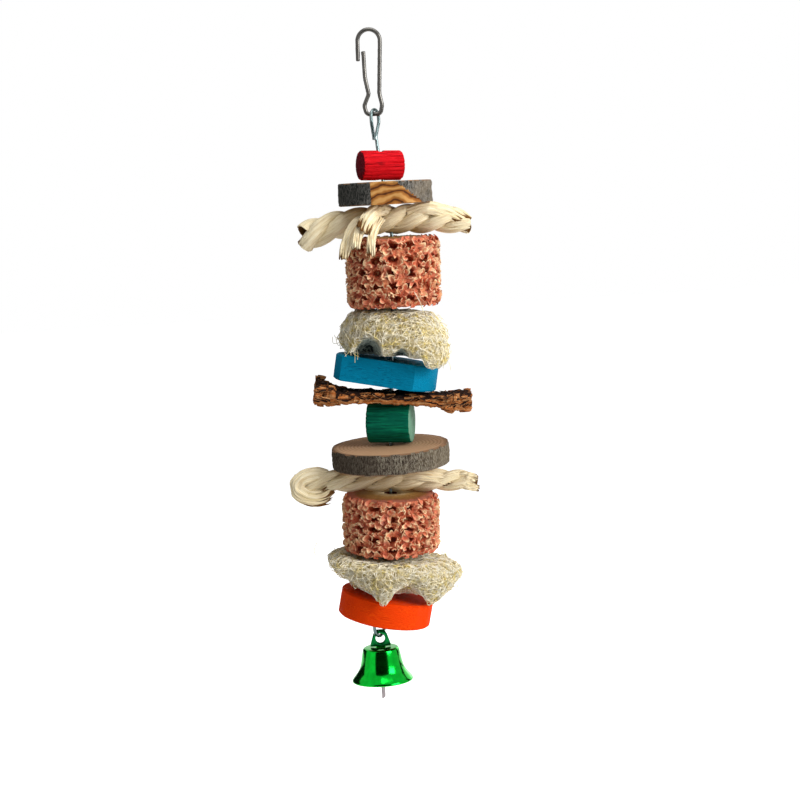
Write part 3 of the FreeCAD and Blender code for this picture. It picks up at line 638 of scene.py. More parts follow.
def cob_sockets(body, radius):
    """Dried cob: pink-orange woody sockets, rusty and darkened with painted shade deep in their
    hollows, with pale papery edges.
    """
    material, tree = new_material(body + "_sockets", roughness=0.9)
    spot = seat_spot(tree, body)
    depth = wall_share(tree, spot, radius - 4.0 * MM, radius)
    crumbs = grains(tree, spot, 0.7, 6.0, 0.7)
    patch = grains(tree, spot, 4, 3.0)
    # Darker deeper into the sockets: rusty wood, deepened with painted shade in the hollows.
    uneven = worked(tree, "MULTIPLY_ADD", crumbs, 0.5, depth)
    papery = worked(tree, "MULTIPLY", crumbs, depth)
    colour = ramp(tree, uneven, (0.25, "#5E1C12"), (0.5, "#A84826"), (0.85, "#D06E4E"),
                  (1.0, "#E4966E"))
    colour = stained(tree, colour, "#ECBC8C", papery, (0.5, NONE), (0.62, FULL))
    colour = stained(tree, colour, "#983E3C", patch, (0.42, NONE), (0.6, "#6A6A6A"))
    return finished(material, mottled(tree, spot, colour), crumbs, 0.5, 0.9)


def cob_end(body):
    """The sawn end of a cob: pith in the middle, a woody tan ring round it."""
    material, tree = new_material(body + "_sawn", roughness=0.9)
    spot = seat_spot(tree, body)
    crumbs = grains(tree, spot, 0.8, 6.0, 0.7)
    mixed = worked(tree, "MULTIPLY_ADD", crumbs, 0.35, way_out(tree, spot, 1 / (17 * MM)))
    colour = ramp(tree, mixed, (0.3, "#E6D2A8"), (0.6, "#B08A4E"), (0.9, "#9A6A3C"),
                  (1.0, "#B8705A"))
    return finished(material, colour, crumbs, 0.6, 0.9)


def chaff_paper(body, outer):
    """Dry chaff: thin and papery, rusty at its roots, pink on its sides and cream at its tips."""
    material, tree = new_material(body + "_chaff_paper", roughness=0.8)
    spot = seat_spot(tree, body)
    depth = wall_share(tree, spot, outer - 2.8 * MM, outer + 0.4 * MM)
    tint = grains(tree, spot, 1.1, 4.0, 0.7)
    patch = grains(tree, spot, (4, 4, 3), 2.0)
    share = worked(tree, "MULTIPLY", worked(tree, "MULTIPLY_ADD", tint, 1.1, depth), 0.6)
    colour = ramp(tree, share, (0.26, "#8E3818"), (0.42, "#C25C38"), (0.58, "#DA785A"),
                  (0.74, "#E89C78"), (0.88, "#F4D2A4"))
    colour = stained(tree, colour, "#A4504C", patch, (0.42, NONE), (0.62, "#707070"))
    return finished(material, mottled(tree, spot, colour))


def cob_cells(drum, half, edge, seed):
    """Cuts the drum's wall into rows, and sinks a lipped kernel socket in every cell."""
    room = 2 * (half - edge)
    start_edit(drum)
    for row in range(COB_ROWS + 1):
        bpy.ops.mesh.select_all(action="SELECT")
        bpy.ops.mesh.bisect(plane_co=(0, 0, -room / 2 + room * row / COB_ROWS), plane_no=(0, 0, 1))
    pick(drum, lambda edge: all(abs(vert.co.z) < room / 2 - 0.1 * MM for vert in edge.verts),
         "edges")
    bpy.ops.transform.vertex_random(offset=0.8 * MM, seed=seed + 5)
    bpy.ops.mesh.select_mode(type="FACE")
    pick(drum, lambda face: abs(face.normal.z) < 0.6 and abs(face.calc_center_median().z) < room / 2)
    for inwards, outwards in ((0.3, 0.4), (0.4, -0.6), (0.3, -0.9), (0.6, -0.9)):
        bpy.ops.mesh.inset(use_individual=True, thickness=inwards * MM, depth=outwards * MM)
    pick(drum, lambda face: abs(face.normal.z) < 0.9 or face.calc_center_median().xy.length > half)
    bpy.ops.transform.vertex_random(offset=0.75 * MM, seed=seed)
    end_edit()


def rounded(outer, half, height):
    """A cob's radius at a height: the drum with its two rims worn round."""
    worn, rim = 1.5 * MM, 2.8 * MM
    return outer - worn * max(0.0, (abs(height) - half + rim) / rim) ** 2


def make_cob(body, seed):
    """A cut of cob: rings of lipped sockets, crumbled by the shelling, with papery chaff."""
    low, high = own_box(body)
    outer, half = high.x, high.z
    edge = 1.0 * MM
    skin = 0.05 * MM
    select_nothing()
    bpy.ops.mesh.primitive_cylinder_add(vertices=COB_COLUMNS, radius=outer - 1.5 * MM,
                                        depth=2 * half - 0.3 * MM)
    core = named(body + "_core")
    place(core, Matrix.Rotation(math.pi / COB_COLUMNS, 4, "Z"))
    cob_cells(core, half, edge, seed)
    apply_modifier(core, "SUBSURF", levels=3, render_levels=3)
    weather(core, 1.5 * MM, 1.1 * MM)
    weather(core, 0.55 * MM, 0.55 * MM)
    apply_modifier(core, "DECIMATE", ratio=0.5)
    for vertex in core.data.vertices:
        far, limit = vertex.co.xy.length, rounded(outer, half, vertex.co.z) - skin
        if far > limit:
            vertex.co.xy *= limit / far
        vertex.co.z = clamp(vertex.co.z, -half, half)
    drill(core, COB_BORE, half * 3)
    wear(core, cob_sockets(body, outer), cob_end(body))
    for face in core.data.polygons:
        if abs(face.normal.z) > 0.75 and abs(face.center.z) > half - 0.9 * MM:
            face.material_index = 1
    smooth_all(core)
    chaff = make_chaff(body, outer, half - 0.5 * edge, seed)
    wear(chaff, chaff_paper(body, outer))
    for piece, nodes in ((core, [body]), (chaff, [])):
        place(piece, seat_of(body))
        hang(piece, body, nodes)


def make_flake():
    """One papery scale of chaff, cupped and torn at its tip."""
    select_nothing()
    bpy.ops.mesh.primitive_grid_add(x_subdivisions=4, y_subdivisions=4, size=1)
    flake = named("chaff_flake")
    for vertex in flake.data.vertices:
        side, out = vertex.co.x, vertex.co.y + 0.5
        narrow = 1 - 0.55 * out ** 2
        torn = 0.12 * math.sin(23 * side) * out
        vertex.co = Vector((side * narrow, out + torn, 0.9 * side * side + 0.35 * out * out))
    apply_modifier(flake, "SOLIDIFY", thickness=0.05)
    return flake


def strew(pattern, flake, root, side, ahead, wide, long, cupped=1.0):
    """Adds a copy of the flake that grows ahead from its root, and gives its points."""
    sizes = (side * wide, ahead * long, side.cross(ahead) * wide * cupped)
    turned = Matrix(sizes).transposed()
    start = len(pattern.verts)
    pattern.from_mesh(flake.data)
    pattern.verts.ensure_lookup_table()
    added = pattern.verts[start:]
    for vertex in added:
        vertex.co = root + turned @ vertex.co
    return added


def make_chaff(body, outer, half, seed):
    """Copies of the flake round every socket, each at its own size and lean."""
    random.seed(seed)
    flake = make_flake()
    pattern = bmesh.new()
    row_tall = 2 * half / COB_ROWS
    column_turn = math.tau / COB_COLUMNS
    flakes_round = 9
    end = half + 0.6 * MM
    cells = [(column, row, number) for column in range(COB_COLUMNS) for row in range(COB_ROWS)
             for number in range(flakes_round)]
    for column, row, number in cells:
        spread = math.tau * (number + random.uniform(-0.5, 0.5)) / flakes_round
        wander = random.uniform(0.32, 0.5)
        across = wander * column_turn * math.cos(spread)
        angle = math.tau * column / COB_COLUMNS + across
        height = -half + row_tall * (row + 0.5 + wander * math.sin(spread))
        spread += random.uniform(-1.3, 1.3)
        outwards = Vector((math.cos(angle), math.sin(angle), 0))
        around = UP.cross(outwards)
        away = (around * math.cos(spread) + UP * math.sin(spread)) * random.choice((1, 1, -1))
        lean = math.radians(random.uniform(20, 75))
        ahead = outwards * math.cos(lean) + away * math.sin(lean)
        side = ahead.cross(outwards * math.sin(lean) - away * math.cos(lean)).normalized()
        long = random.uniform(1.6, 3.4) * MM
        wide = random.uniform(1.2, 3.0) * MM
        root = outwards * (outer - random.uniform(1.5, 2.1) * MM) + UP * height
        for vertex in strew(pattern, flake, root, side, ahead, wide, long):
            far, limit = vertex.co.xy.length, rounded(outer, half, vertex.co.z)
            if far > limit:
                vertex.co.xy *= (limit + 0.25 * (far - limit)) / far
            vertex.co.z = clamp(vertex.co.z, -end, end)
    bpy.data.objects.remove(flake)
    chaff = built(body + "_chaff", pattern)
    smooth(chaff, 60)
    return chaff


# Husk twists

def dried_husk():
    """Dried corn husk: papery, veined along the leaf, browned at its ends and edges, with painted
    shade in its creases and between its strands.
    """
    material, tree = new_material("dried_corn_husk", roughness=0.7)
    leaf = add(tree, "ShaderNodeUVMap", uv_map="leaf").outputs["UV"]
    flat = 1000
    veins = grains(tree, leaf, (14, 0.3, flat), 4.0, 0.65)
    broad = grains(tree, leaf, (9, 2.2, flat), 3.0, 0.6)
    # Where uneven is low, dark brown is laid on: browning at the ends and edges, and painted shade in
    # the creases and between the strands.
    uneven = worked(tree, "MULTIPLY_ADD", broad, 0.5, attribute(tree, "browning_and_shade"))
    colour = ramp(tree, veins, (0.3, "#B09256"), (0.4, "#E6D09A"), (0.52, "#FBEDCB"))
    colour = stained(tree, colour, "#B98A48", broad, (0.36, "#909090"), (0.48, NONE))
    colour = stained(tree, colour, "#6E4A22", uneven, (0.36, FULL), (0.6, NONE))
    return finished(material, colour, veins, 0.35, 0.9)


def husk_end():
    """The cut end of a husk twist: brown, with the leaf's layers showing."""
    material, tree = new_material("cut_husk_end", roughness=0.9)
    layers = grains(tree, object_spot(tree), (3, 0.7, 0.5), 4.0, 0.7, 1.2)
    colour = ramp(tree, layers, (0.35, "#3E1E0C"), (0.5, "#8A4E1E"), (0.66, "#D2A868"))
    return finished(material, colour, layers, 0.6, 0.9)


def husk_swell(share):
    """How the rope opens at its left end and closes at its right, as a share of its thickness."""
    end = 2 * share - 1
    return 1.0 + (0.12 if end < 0 else -0.35) * abs(end) ** 8


def strand_path(lay, thick, left, right, droop, steps):
    """The middle line of one strand as it winds round its neighbours."""
    offset = thick / 2 * STRAND_OFFSET
    points = []
    for step in range(steps + 1):
        across = -left + (left + right) * step / steps
        angle = math.tau * (across / ROPE_PITCH + lay)
        sag = droop * (abs(across) / max(left, right)) ** 4
        wide = offset * husk_swell(step / steps)
        points.append(Vector((across, -wide * math.cos(angle), wide * math.sin(angle) - sag)))
    return points


def strand_ring(shape, browning_and_shade, path, index, sag, section, around):
    """One ring of points round a strand, each told how far it is browned at the strand's ends and
    painted in shade where it faces into the rope or sinks into a pleat.
    """
    point = path[index]
    ahead = (path[min(len(path) - 1, index + 1)] - path[max(0, index - 1)]).normalized()
    side = ahead.cross(UP).normalized()
    top = side.cross(ahead)
    share = index / (len(path) - 1)
    end = max(0.0, abs(2 * share - 1) - 0.9) / 0.1
    outwards = Vector((0, point.y, point.z + sag))
    radii = [section(share, math.tau * step / around) for step in range(around)]
    plain = sum(radii) / around
    ring = []
    for step, radius in enumerate(radii):
        angle = math.tau * step / around
        away = side * math.cos(angle) + top * math.sin(angle)
        vertex = shape.verts.new(point + away * radius)
        # Browning towards the strand's ends; painted shade where the leaf faces into the rope and in
        # the valleys of its pleats.
        vertex[browning_and_shade] = (0.5 + 0.5 * away.dot(outwards) / max(outwards.length, 1e-6)
                          - 0.35 * end + 3.5 * min(0.0, radius / plain - 0.97))
        ring.append(vertex)
    return ring


def close_strand(shape, ring, path, index, inner):
    """A cut end: a lip of leaf round a throat that runs a few steps into the strand."""
    lip = [shape.verts.new(vert.co.lerp(path[index], 0.22)) for vert in ring]
    throat = [shape.verts.new(vert.co.lerp(path[index], 0.45) + path[inner] - path[index])
              for vert in ring]
    middle = shape.verts.new(path[inner])
    for step in range(len(ring)):
        following = (step + 1) % len(ring)
        faces = [shape.faces.new((near[step], near[following], far[following], far[step]))
                 for near, far in ((ring, lip), (lip, throat))]
        faces.append(shape.faces.new((throat[step], throat[following], middle)))
        for face in faces:
            face.material_index = 1


def swept(name, path, droops, section):
    """A skin round a path. section gives the radius at a share of the length and an angle, and
    droops say how far the rope's middle hangs at each point."""
    shape = bmesh.new()
    leaf = shape.loops.layers.uv.new("leaf")
    browning_and_shade = shape.verts.layers.float.new("browning_and_shade")
    around, round_step = 60, 0.5 * MM
    rings = [strand_ring(shape, browning_and_shade, path, index, droops[index], section, around)
             for index in range(len(path))]
    travelled = 0.0
    for index, (ring, onward) in enumerate(zip(rings, rings[1:])):
        ahead = travelled + (path[index + 1] - path[index]).length
        for step in range(around):
            following = (step + 1) % around
            face = shape.faces.new((ring[step], onward[step], onward[following], ring[following]))
            marks = ((travelled, step), (ahead, step), (ahead, step + 1), (travelled, step + 1))
            for loop, (far, turn) in zip(face.loops, marks):
                loop[leaf].uv = (far, turn * round_step)
        travelled = ahead
    close_strand(shape, rings[0], path, 0, 6)
    close_strand(shape, rings[-1], path, -1, -7)
    bmesh.ops.recalc_face_normals(shape, faces=shape.faces)
    return built(name, shape)


def make_husk(body, thick, left, right, droop, papers):
    """Three folded husk leaves laid into a rope, each pleated and plumped between its turns."""
    radius = thick / 2 * STRAND_OFFSET * math.sqrt(3) / 2
    for number, letter in enumerate("abc"):
        path = strand_path(number / 3, thick, left, right, droop, 90)
        phase = 1.7 * number

        def section(share, angle, phase=phase):
            turn = angle + 5.0 * share
            fold = 0.16 * (((turn + phase) / math.tau * 3) % 1.0) - 0.08
            pleats = 0.03 * math.cos(11 * turn - 3 * phase)
            crumple = 0.12 * noise.noise(Vector((share * 9, math.cos(angle), math.sin(angle)))
                                         + Vector((phase * 5, 0, 0)))
            return radius * 1.1 * husk_swell(share) * (1 + fold + pleats + crumple)

        droops = [droop * (abs(point.x) / max(left, right)) ** 4 for point in path]
        strand = swept("%s_leaf_%s" % (body, letter), path, droops, section)
        smooth(strand, 50)
        place(strand, seat_of(body))
        wear(strand, *papers)
        hang(strand, body, ["%s_strand_%s" % (body, letter)])


def on_curve(path, where):
    """A point on the smooth curve through a path's points, and the way that the path runs there."""
    step = min(int(where), len(path) - 2)
    before, after = path[max(step - 1, 0)], path[min(step + 2, len(path) - 1)]
    first, second, part = path[step], path[step + 1], where - step
    middle = 0.5 * (2 * first + (second - before) * part
                    + (2 * before - 5 * first + 4 * second - after) * part ** 2
                    + (3 * first - before - 3 * second + after) * part ** 3)
    return middle, (second - first).normalized()


def make_tail(name, body, points, widths, curl, papers):
    """A loose leaf of husk that hangs along some points, curled across and torn at its tip."""
    select_nothing()
    bpy.ops.mesh.primitive_grid_add(x_subdivisions=60, y_subdivisions=16, size=1)
    leaf = named(name)
    path = [Vector(point) * MM for point in points]
    reach = sum((after - before).length for before, after in zip(path, path[1:]))
    leaf_wide = 8 * MM
    towards_eye = Vector((0, -1, 0.25))
    leaf.data.uv_layers[0].name = "leaf"
    for mark in leaf.data.uv_layers["leaf"].uv:
        mark.vector = (mark.vector.x * reach, mark.vector.y * leaf_wide)
    browning_and_shade = leaf.data.attributes.new("browning_and_shade", "FLOAT", "POINT")
    for vertex, browning_and_shade_value in zip(leaf.data.vertices, browning_and_shade.data):
        share, across = vertex.co.x + 0.5, vertex.co.y * 2
        # Browning at the leaf's tip and along its edges.
        browning_and_shade_value.value = 1 - 0.9 * max(0.0, share - 0.74) / 0.26 - 0.35 * abs(across) ** 6
        fold = across * 13 + 5 * share + 4 * noise.noise(Vector((across * 2, share * 3, len(points))))
        # Painted shade in the valleys of the leaf's folds.
        browning_and_shade_value.value -= 0.7 * max(0.0, -math.sin(fold)) ** 2
        torn = max(0.0, noise.noise(Vector((across * 7, 2.5, len(name))))) * 0.3
        share = share * (1 - torn * share ** 2)
        middle, ahead = on_curve(path, share * (len(path) - 1))
        side = ahead.cross(towards_eye).normalized()
        face = side.cross(ahead).normalized()
        wide = (widths[0] + (widths[1] - widths[0]) * share) * MM / 2
        angle = across * math.radians(curl) / 2
        pleat = 0.3 * MM * math.sin(fold)
        pleat += 1.3 * MM * share * noise.noise(Vector((share * 6, across * 1.8, len(name))))
        bend = wide / max(math.radians(curl) / 2, 0.05)
        vertex.co = (middle + side * bend * math.sin(angle)
                     + face * (bend * (math.cos(angle) - 1) + pleat))
    apply_modifier(leaf, "SOLIDIFY", thickness=0.35 * MM, offset=0.0)
    apply_modifier(leaf, "SUBSURF", levels=1, render_levels=1)
    smooth(leaf, 60)
    place(leaf, seat_of(body))
    wear(leaf, *papers)
    hang(leaf, body, [])


# Loofah pads. A lobe is a part of the rim that hangs down, or is drawn up where its drop is below
# zero. It is given as its middle and its reach before and after that in degrees, the radius where
# it starts, its drop and its bulge. A seed hollow is given as its place across and its height, its
# half width and its half height.

def sponge(name, tint_size, detail, rough, stops, hollow_shade_code, roughness, weight, scale):
    """Dried loofah, a little see-through in the light, with painted shade in its seed hollows."""
    material, tree = new_material(name, roughness=roughness, Subsurface_Weight=weight,
                                  Subsurface_Radius=(1.0, 0.95, 0.85),
                                  Subsurface_Scale=scale * MM)
    tint = grains(tree, object_spot(tree), tint_size, detail, rough)
    # Painted shade: inside the seed hollows the colour is blended towards a darker grey.
    colour = blended(tree, attribute(tree, "hollow_shade"), ramp(tree, tint, *stops), srgb(hollow_shade_code))
    return material, colour, tint


def loofah_fibre():
    """The threads: pale straw and slightly glossy."""
    stops = ((0.36, "#E4CC78"), (0.46, "#F4E6BE"), (0.6, "#FBF3DA"))
    # The grey given after the stops is the painted shade in the seed hollows.
    material, colour, tint = sponge("loofah_fibre", 2.4, 3.0, 0.6, stops, "#98A49A", 0.6, 0.35, 0.8)
    return finished(material, colour)


def loofah_depths():
    """Deep inside the sponge, where hardly any light comes: its colours are painted darker than the
    threads' as shade.
    """
    # Painted shade: these colours are darker than the threads' own.
    stops = ((0.33, "#8E8050"), (0.43, "#CBBC88"), (0.56, "#EADDB4"))
    # The dark grey given after the stops is the painted shade in the seed hollows.
    material, colour, tint = sponge("loofah_inside", (1.6, 1.6, 1.2), 5.0, 0.7, stops, "#40504E",
                                    0.95, 0.3, 1.0)
    return finished(material, colour, tint, 1.0, 1.0)


def shape_pad(pad, body, lobes, hollows):
    """Lets lobes of the pad's rim hang outside the disc below, and opens its seed hollows."""
    seat = seat_of(body)
    back = seat.inverted()
    places = [back @ vertex.co for vertex in pad.data.vertices]
    tall = max(spot.z for spot in places) - min(spot.z for spot in places)
    for vertex, spot in zip(pad.data.vertices, places):
        angle = math.degrees(math.atan2(spot.y, spot.x))
        low = clamp(0.5 - 1.2 * spot.z / tall)
        for centre, before, after, radius, drop, bulge in lobes:
            apart = (angle - centre + 180) % 360 - 180
            window = math.exp(-(apart / (before if apart < 0 else after)) ** 2) * low
            spot.xy *= 1 + bulge * window
            outside = clamp((spot.xy.length - radius * MM) / (0.8 * MM))
            spot.z -= drop * MM * window * outside
        for across, height, wide, high in hollows:
            inside = math.hypot((spot.x / MM - across) / wide, (spot.z / MM - height) / high)
            if inside < 1 and spot.y < 0:
                spot.y *= 1 - 0.6 * (1 - inside ** 2) ** 0.5
        vertex.co = seat @ spot
    pad.data.update()


def mark_hollow_shade(pad, body, hollows):
    """Names the points that lie inside the hollows, for the painted shade there."""
    back = seat_of(body).inverted()
    values = []
    for vertex in pad.data.vertices:
        spot = back @ vertex.co / MM
        nearest = min((math.hypot((spot.x - across) / wide, (spot.z - height) / high)
                       for across, height, wide, high in hollows if spot.y < 0), default=2.0)
        values.append(clamp((1.02 - nearest) / 0.15))
    hollow_shade = pad.data.attributes.new("hollow_shade", "FLOAT", "POINT")
    hollow_shade.data.foreach_set("value", values)


def keep_foot_level(net, body, lobes):
    """Presses the threads under the pad level, so that they clear the disc in every turn."""
    seat = seat_of(body)
    back = seat.inverted()
    reach = min(radius for *sides, radius, drop, bulge in lobes if drop > 0) - 0.4
    floor = own_box(body)[0].z + 0.1 * MM
    for vertex in net.data.vertices:
        spot = back @ vertex.co
        if spot.z < floor and spot.xy.length < reach * MM:
            spot.z = floor
            vertex.co = seat @ spot


def pad_form(body, name, form, voxel):
    """The CAD pad with its lobes and hollows, smoothed to one size of grain."""
    pad = copy_of(body, name)
    remesh(pad, 1.0 * MM)
    shape_pad(pad, body, *form)
    remesh(pad, voxel)
    apply_modifier(pad, "SMOOTH", factor=0.5, iterations=2)
    return pad


def fibre_net(body, number, shrink, cell, form):
    """One layer of the sponge: an uneven net over the pad's form, its threads rounded."""
    lobes, hollows = form
    seed = number + 2
    net = pad_form(body, "%s_net_%d" % (body, number), form, 0.9 * MM)
    weather(net, 2.6 * MM, 1.3 * MM)
    edit_whole(net, bpy.ops.transform.shrink_fatten, value=-shrink * MM)
    apply_modifier(net, "DECIMATE", ratio=cell)
    random.seed(seed)
    start_edit(net)
    bpy.ops.mesh.select_all(action="SELECT")
    bpy.ops.transform.vertex_random(offset=0.5 * MM, seed=seed)
    pick(net, lambda edge: random.random() < 0.25, "edges")
    bpy.ops.mesh.dissolve_edges(use_verts=False)
    end_edit()
    apply_modifier(net, "WIREFRAME", thickness=0.34 * MM, use_even_offset=False, use_replace=True)
    keep_foot_level(net, body, lobes)
    mark_hollow_shade(net, body, hollows)
    smooth_all(net)
    return net


def make_wisps(body, count, seed, stray):
    """Loose ends of fibre that curl out round the pad's middle, and one long stray one."""
    random.seed(seed)
    mesh = frame["nodes"][body].data
    low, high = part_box(body)
    middle = (low + high) / 2
    band = (high.z - low.z) * 0.3
    rim = [face for face in mesh.polygons if abs(face.center.z - middle.z) < band
           and abs(face.center.x - middle.x) > 0.3 * (high.x - low.x)]
    curve = bpy.data.curves.new(body + "_wisps", "CURVE")
    curve.dimensions = "3D"
    curve.bevel_depth = 0.11 * MM
    curve.bevel_resolution = 1
    curve.resolution_u = 6
    seat = seat_of(body)
    lines = [[seat @ (Vector(point) * MM) for point in stray]]
    for number in range(count):
        face = random.choice(rim)
        corners = [mesh.vertices[index].co for index in face.vertices]
        shares = [random.random() for corner in corners]
        start = Vector((0, 0, 0))
        for corner, share in zip(corners, shares):
            start += corner * (share / sum(shares))
        out = Vector(face.normal)
        along = out.cross(Vector([random.uniform(-1, 1) for axis in range(3)])).normalized()
        long = random.uniform(2.5, 6.0) * MM
        rise = random.uniform(0.3, 1.5) * MM
        lines.append([start - out * 1.2 * MM, start + along * long * 0.3 + out * rise * 0.6,
                      start + along * long * 0.65 + out * rise, start + along * long
                      + out * random.uniform(-1.0, 1.0) * MM])
    for points in lines:
        spline = curve.splines.new("NURBS")
        spline.points.add(len(points) - 1)
        for point, where in zip(spline.points, points):
            point.co = (*where, 1)
        spline.order_u = 3
        spline.use_endpoint_u = True
    wisps = take(linked(body + "_wisps", curve))
    bpy.ops.object.convert(target="MESH")
    return wisps


def make_loofah(body, form, stray):
    """A squeezed pad of loofah: nets of fibre in layers over a shadowed inside."""
    lobes, hollows = form
    fibre, depths = loofah_fibre(), loofah_depths()
    inside = pad_form(body, body + "_inside", form, 0.7 * MM)
    edit_whole(inside, bpy.ops.transform.shrink_fatten, value=-0.9 * MM)
    weather(inside, 1.6 * MM, 1.3 * MM)
    mark_hollow_shade(inside, body, hollows)
    smooth_all(inside)
    wear(inside, depths)
    hang(inside, body, [body])
    layers = [fibre_net(body, number, shrink, cell, form)
              for number, shrink, cell in ((1, -0.15, 0.17), (2, 0.2, 0.2), (3, 0.5, 0.22))]
    wisps = make_wisps(body, 90, 7, stray)
    shape_pad(wisps, body, lobes, ())
    for piece in (*layers, wisps):
        wear(piece, fibre)
        hang(piece, body, [])


# Bark strip

def loose_bark():
    """Old bark torn off a trunk: stringy red-brown inside, near black and scaly outside."""
    material, tree = new_material("torn_bark", roughness=0.95)
    strings = grains(tree, seat_spot(tree, "bark_strip"), (6, 0.8, 0.6), 6.0, 0.7, 0.6)
    inner = ramp(tree, strings, (0.3, "#5A2C14"), (0.45, "#C06A2E"), (0.66, "#E0B07A"))
    outer = ramp(tree, strings, (0.35, "#1C100C"), (0.55, "#2E1B14"), (0.72, "#6A4A38"))
    facing = add(tree, "ShaderNodeNewGeometry").outputs["Normal"]
    upward = add(tree, "ShaderNodeSeparateXYZ", {"Vector": facing}).outputs["Z"]
    colour = blended(tree, ramp(tree, upward, (0.35, NONE), (0.6, FULL)), inner, outer)
    return finished(material, colour, strings, 1.1, 1.0)


def make_bark():
    """A loose strip of bark, cupped along its length, scaly above and stringy below."""
    low, high = own_box("bark_strip")
    reach_left, reach_right, half_wide = -low.x, high.x, high.y
    thick = 2.0 * MM
    select_nothing()
    bpy.ops.mesh.primitive_grid_add(x_subdivisions=150, y_subdivisions=60, size=2)
    strip = named("torn_bark_strip")
    for vertex in strip.data.vertices:
        along, across = vertex.co.x, vertex.co.y
        reach = reach_left if along < 0 else reach_right
        ragged_edge = 1 + 0.05 * noise.noise(Vector((along * 7, across * 2, 3)))
        end = 1 + 0.02 * noise.noise(Vector((along, across * 6, 9)))
        narrow = 1 - 0.3 * abs(along) ** 4
        cup = -1.6 * MM * max(0.0, (abs(across) - 0.8) / 0.2)
        curl = 4.0 * MM * max(0.0, (-along - 0.8) / 0.2) * max(0.0, (across - 0.1) / 0.9)
        scale = 0.5 * MM * noise.fractal(Vector((along * 9, across * 5, 1)), 0.8, 2.1, 4)
        vertex.co = Vector((along * reach * end * 0.985,
                            across * half_wide * narrow * ragged_edge * 0.95,
                            cup + curl + scale - 0.2 * MM))
    apply_modifier(strip, "SOLIDIFY", thickness=thick, offset=0.0)
    for vertex in strip.data.vertices:
        lump = 0.7 + 0.6 * noise.noise(vertex.co / (4 * MM))
        if vertex.co.z < 0:
            vertex.co.z -= 2.0 * MM * clamp((abs(vertex.co.x) - 11 * MM) / (10 * MM)) * lump
        else:
            vertex.co.z += 1.8 * MM * clamp((vertex.co.xy.length - 20.4 * MM) / (3 * MM)) * lump
    drill(strip, SLICE_BORE, 20 * MM)
    weather(strip, 1.2 * MM, 0.8 * MM)
    weather(strip, 3.6 * MM, 1.4 * MM)
    smooth_all(strip)
    scales = scatter_scales(strip, reach_left, reach_right)
    bark = loose_bark()
    for piece, nodes in ((strip, ["bark_strip"]), (scales, [])):
        place(piece, seat_of("bark_strip"))
        wear(piece, bark)
        hang(piece, "bark_strip", nodes)


def scatter_scales(strip, reach_left, reach_right):
    """Scales of bark that have lifted from the strip's long edges and its lumpy right end."""
    random.seed(41)
    flake = make_flake()
    pattern = bmesh.new()
    edges = [vertex for vertex in strip.data.vertices
             if abs(vertex.co.y) > 5.5 * MM and -0.6 < vertex.normal.z < 0.75]
    lump = [vertex for vertex in edges if vertex.co.x > 0.55 * reach_right]
    curl = [vertex for vertex in edges if vertex.co.x < -0.75 * reach_left]
    for number in range(190):
        root = random.choice((lump, curl, edges, edges)[number % 4])
        out = root.normal.normalized()
        ahead = (RIGHT * random.choice((-1, 1)) + out * random.uniform(0.0, 0.25)
                 + UP * random.uniform(-0.14, 0.14)).normalized()
        side = ahead.cross(out).normalized()
        long, wide = random.uniform(1.8, 4.4) * MM, random.uniform(1.4, 2.8) * MM
        lifted = root.co + out * 0.1 * MM
        for vertex in strew(pattern, flake, lifted, side, ahead, wide, long, 0.6):
            vertex.co.x = clamp(vertex.co.x, -reach_left, reach_right)
            if vertex.co.xy.length < GREEN_BEAD_REACH:
                vertex.co.z = max(-0.8 * MM, vertex.co.z)
            if vertex.co.xy.length < BLUE_DISC_REACH:
                vertex.co.z = min(1.4 * MM, vertex.co.z)
    bpy.data.objects.remove(flake)
    scales = built("bark_scales", pattern)
    smooth(scales, 50)
    return scales


# Bell

def bell_lacquer(name, thin, plain, roughness):
    """Green lacquer over plated steel: a mirror under a tinted coat."""
    material, tree = new_material(name, roughness=roughness, metallic=1.0, Coat_Weight=0.04,
                                  Coat_Roughness=0.08)
    dust = grains(tree, object_spot(tree), 1.5, 5.0)
    return finished(material, ramp(tree, dust, (0.3, thin), (0.7, plain)))


def make_bell():
    """A spun bell with a crisp crown and a rolled lip, and its stamped tab."""
    low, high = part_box("bell_shell")
    middle = (low + high) / 2
    mouth, tall = (high.x - low.x) / 2, high.z - low.z
    wall, slot_radius = 0.5 * MM, 1.7 * MM
    profile = ((0.30, 0), (0.50, 0), (0.555, 0.012), (0.585, 0.04), (0.60, 0.09), (0.64, 0.25),
               (0.675, 0.45), (0.72, 0.6), (0.79, 0.72), (0.90, 0.84), (0.985, 0.935), (1.0, 0.975))
    outside = [(slot_radius, 0)] + [(mouth * share, -drop * tall) for share, drop in profile]
    inside = [(radius - wall, height + 0.2 * wall) for radius, height in outside[3:]]
    inside[0] = (inside[0][0], -wall - 0.03 * tall)
    rings = (outside + [(mouth - 0.15 * MM, -tall)] + inside[::-1]
             + [(mouth * 0.38, -wall), (slot_radius, -wall)])
    shell = lathe("bell_cup", rings, 96)
    apply_modifier(shell, "SUBSURF", levels=1, render_levels=1)
    smooth(shell, 50)
    place(shell, Matrix.Translation((middle.x, middle.y, high.z)))
    wear(shell, bell_lacquer("green_bell_lacquer", "#049A24", "#06B430", 0.14))
    hang(shell, "bell", ["bell_shell"])
    tab = copy_of("bell_hanger", "bell_tab")
    edit_whole(tab, bpy.ops.mesh.dissolve_limited, angle_limit=math.radians(3))
    apply_modifier(tab, "BEVEL", width=0.15 * MM, segments=2, limit_method="ANGLE")
    smooth(tab, 35)
    wear(tab, bell_lacquer("green_tab_lacquer", "#06602A", "#0A7636", 0.3))
    hang(tab, "bell", ["bell_hanger"])


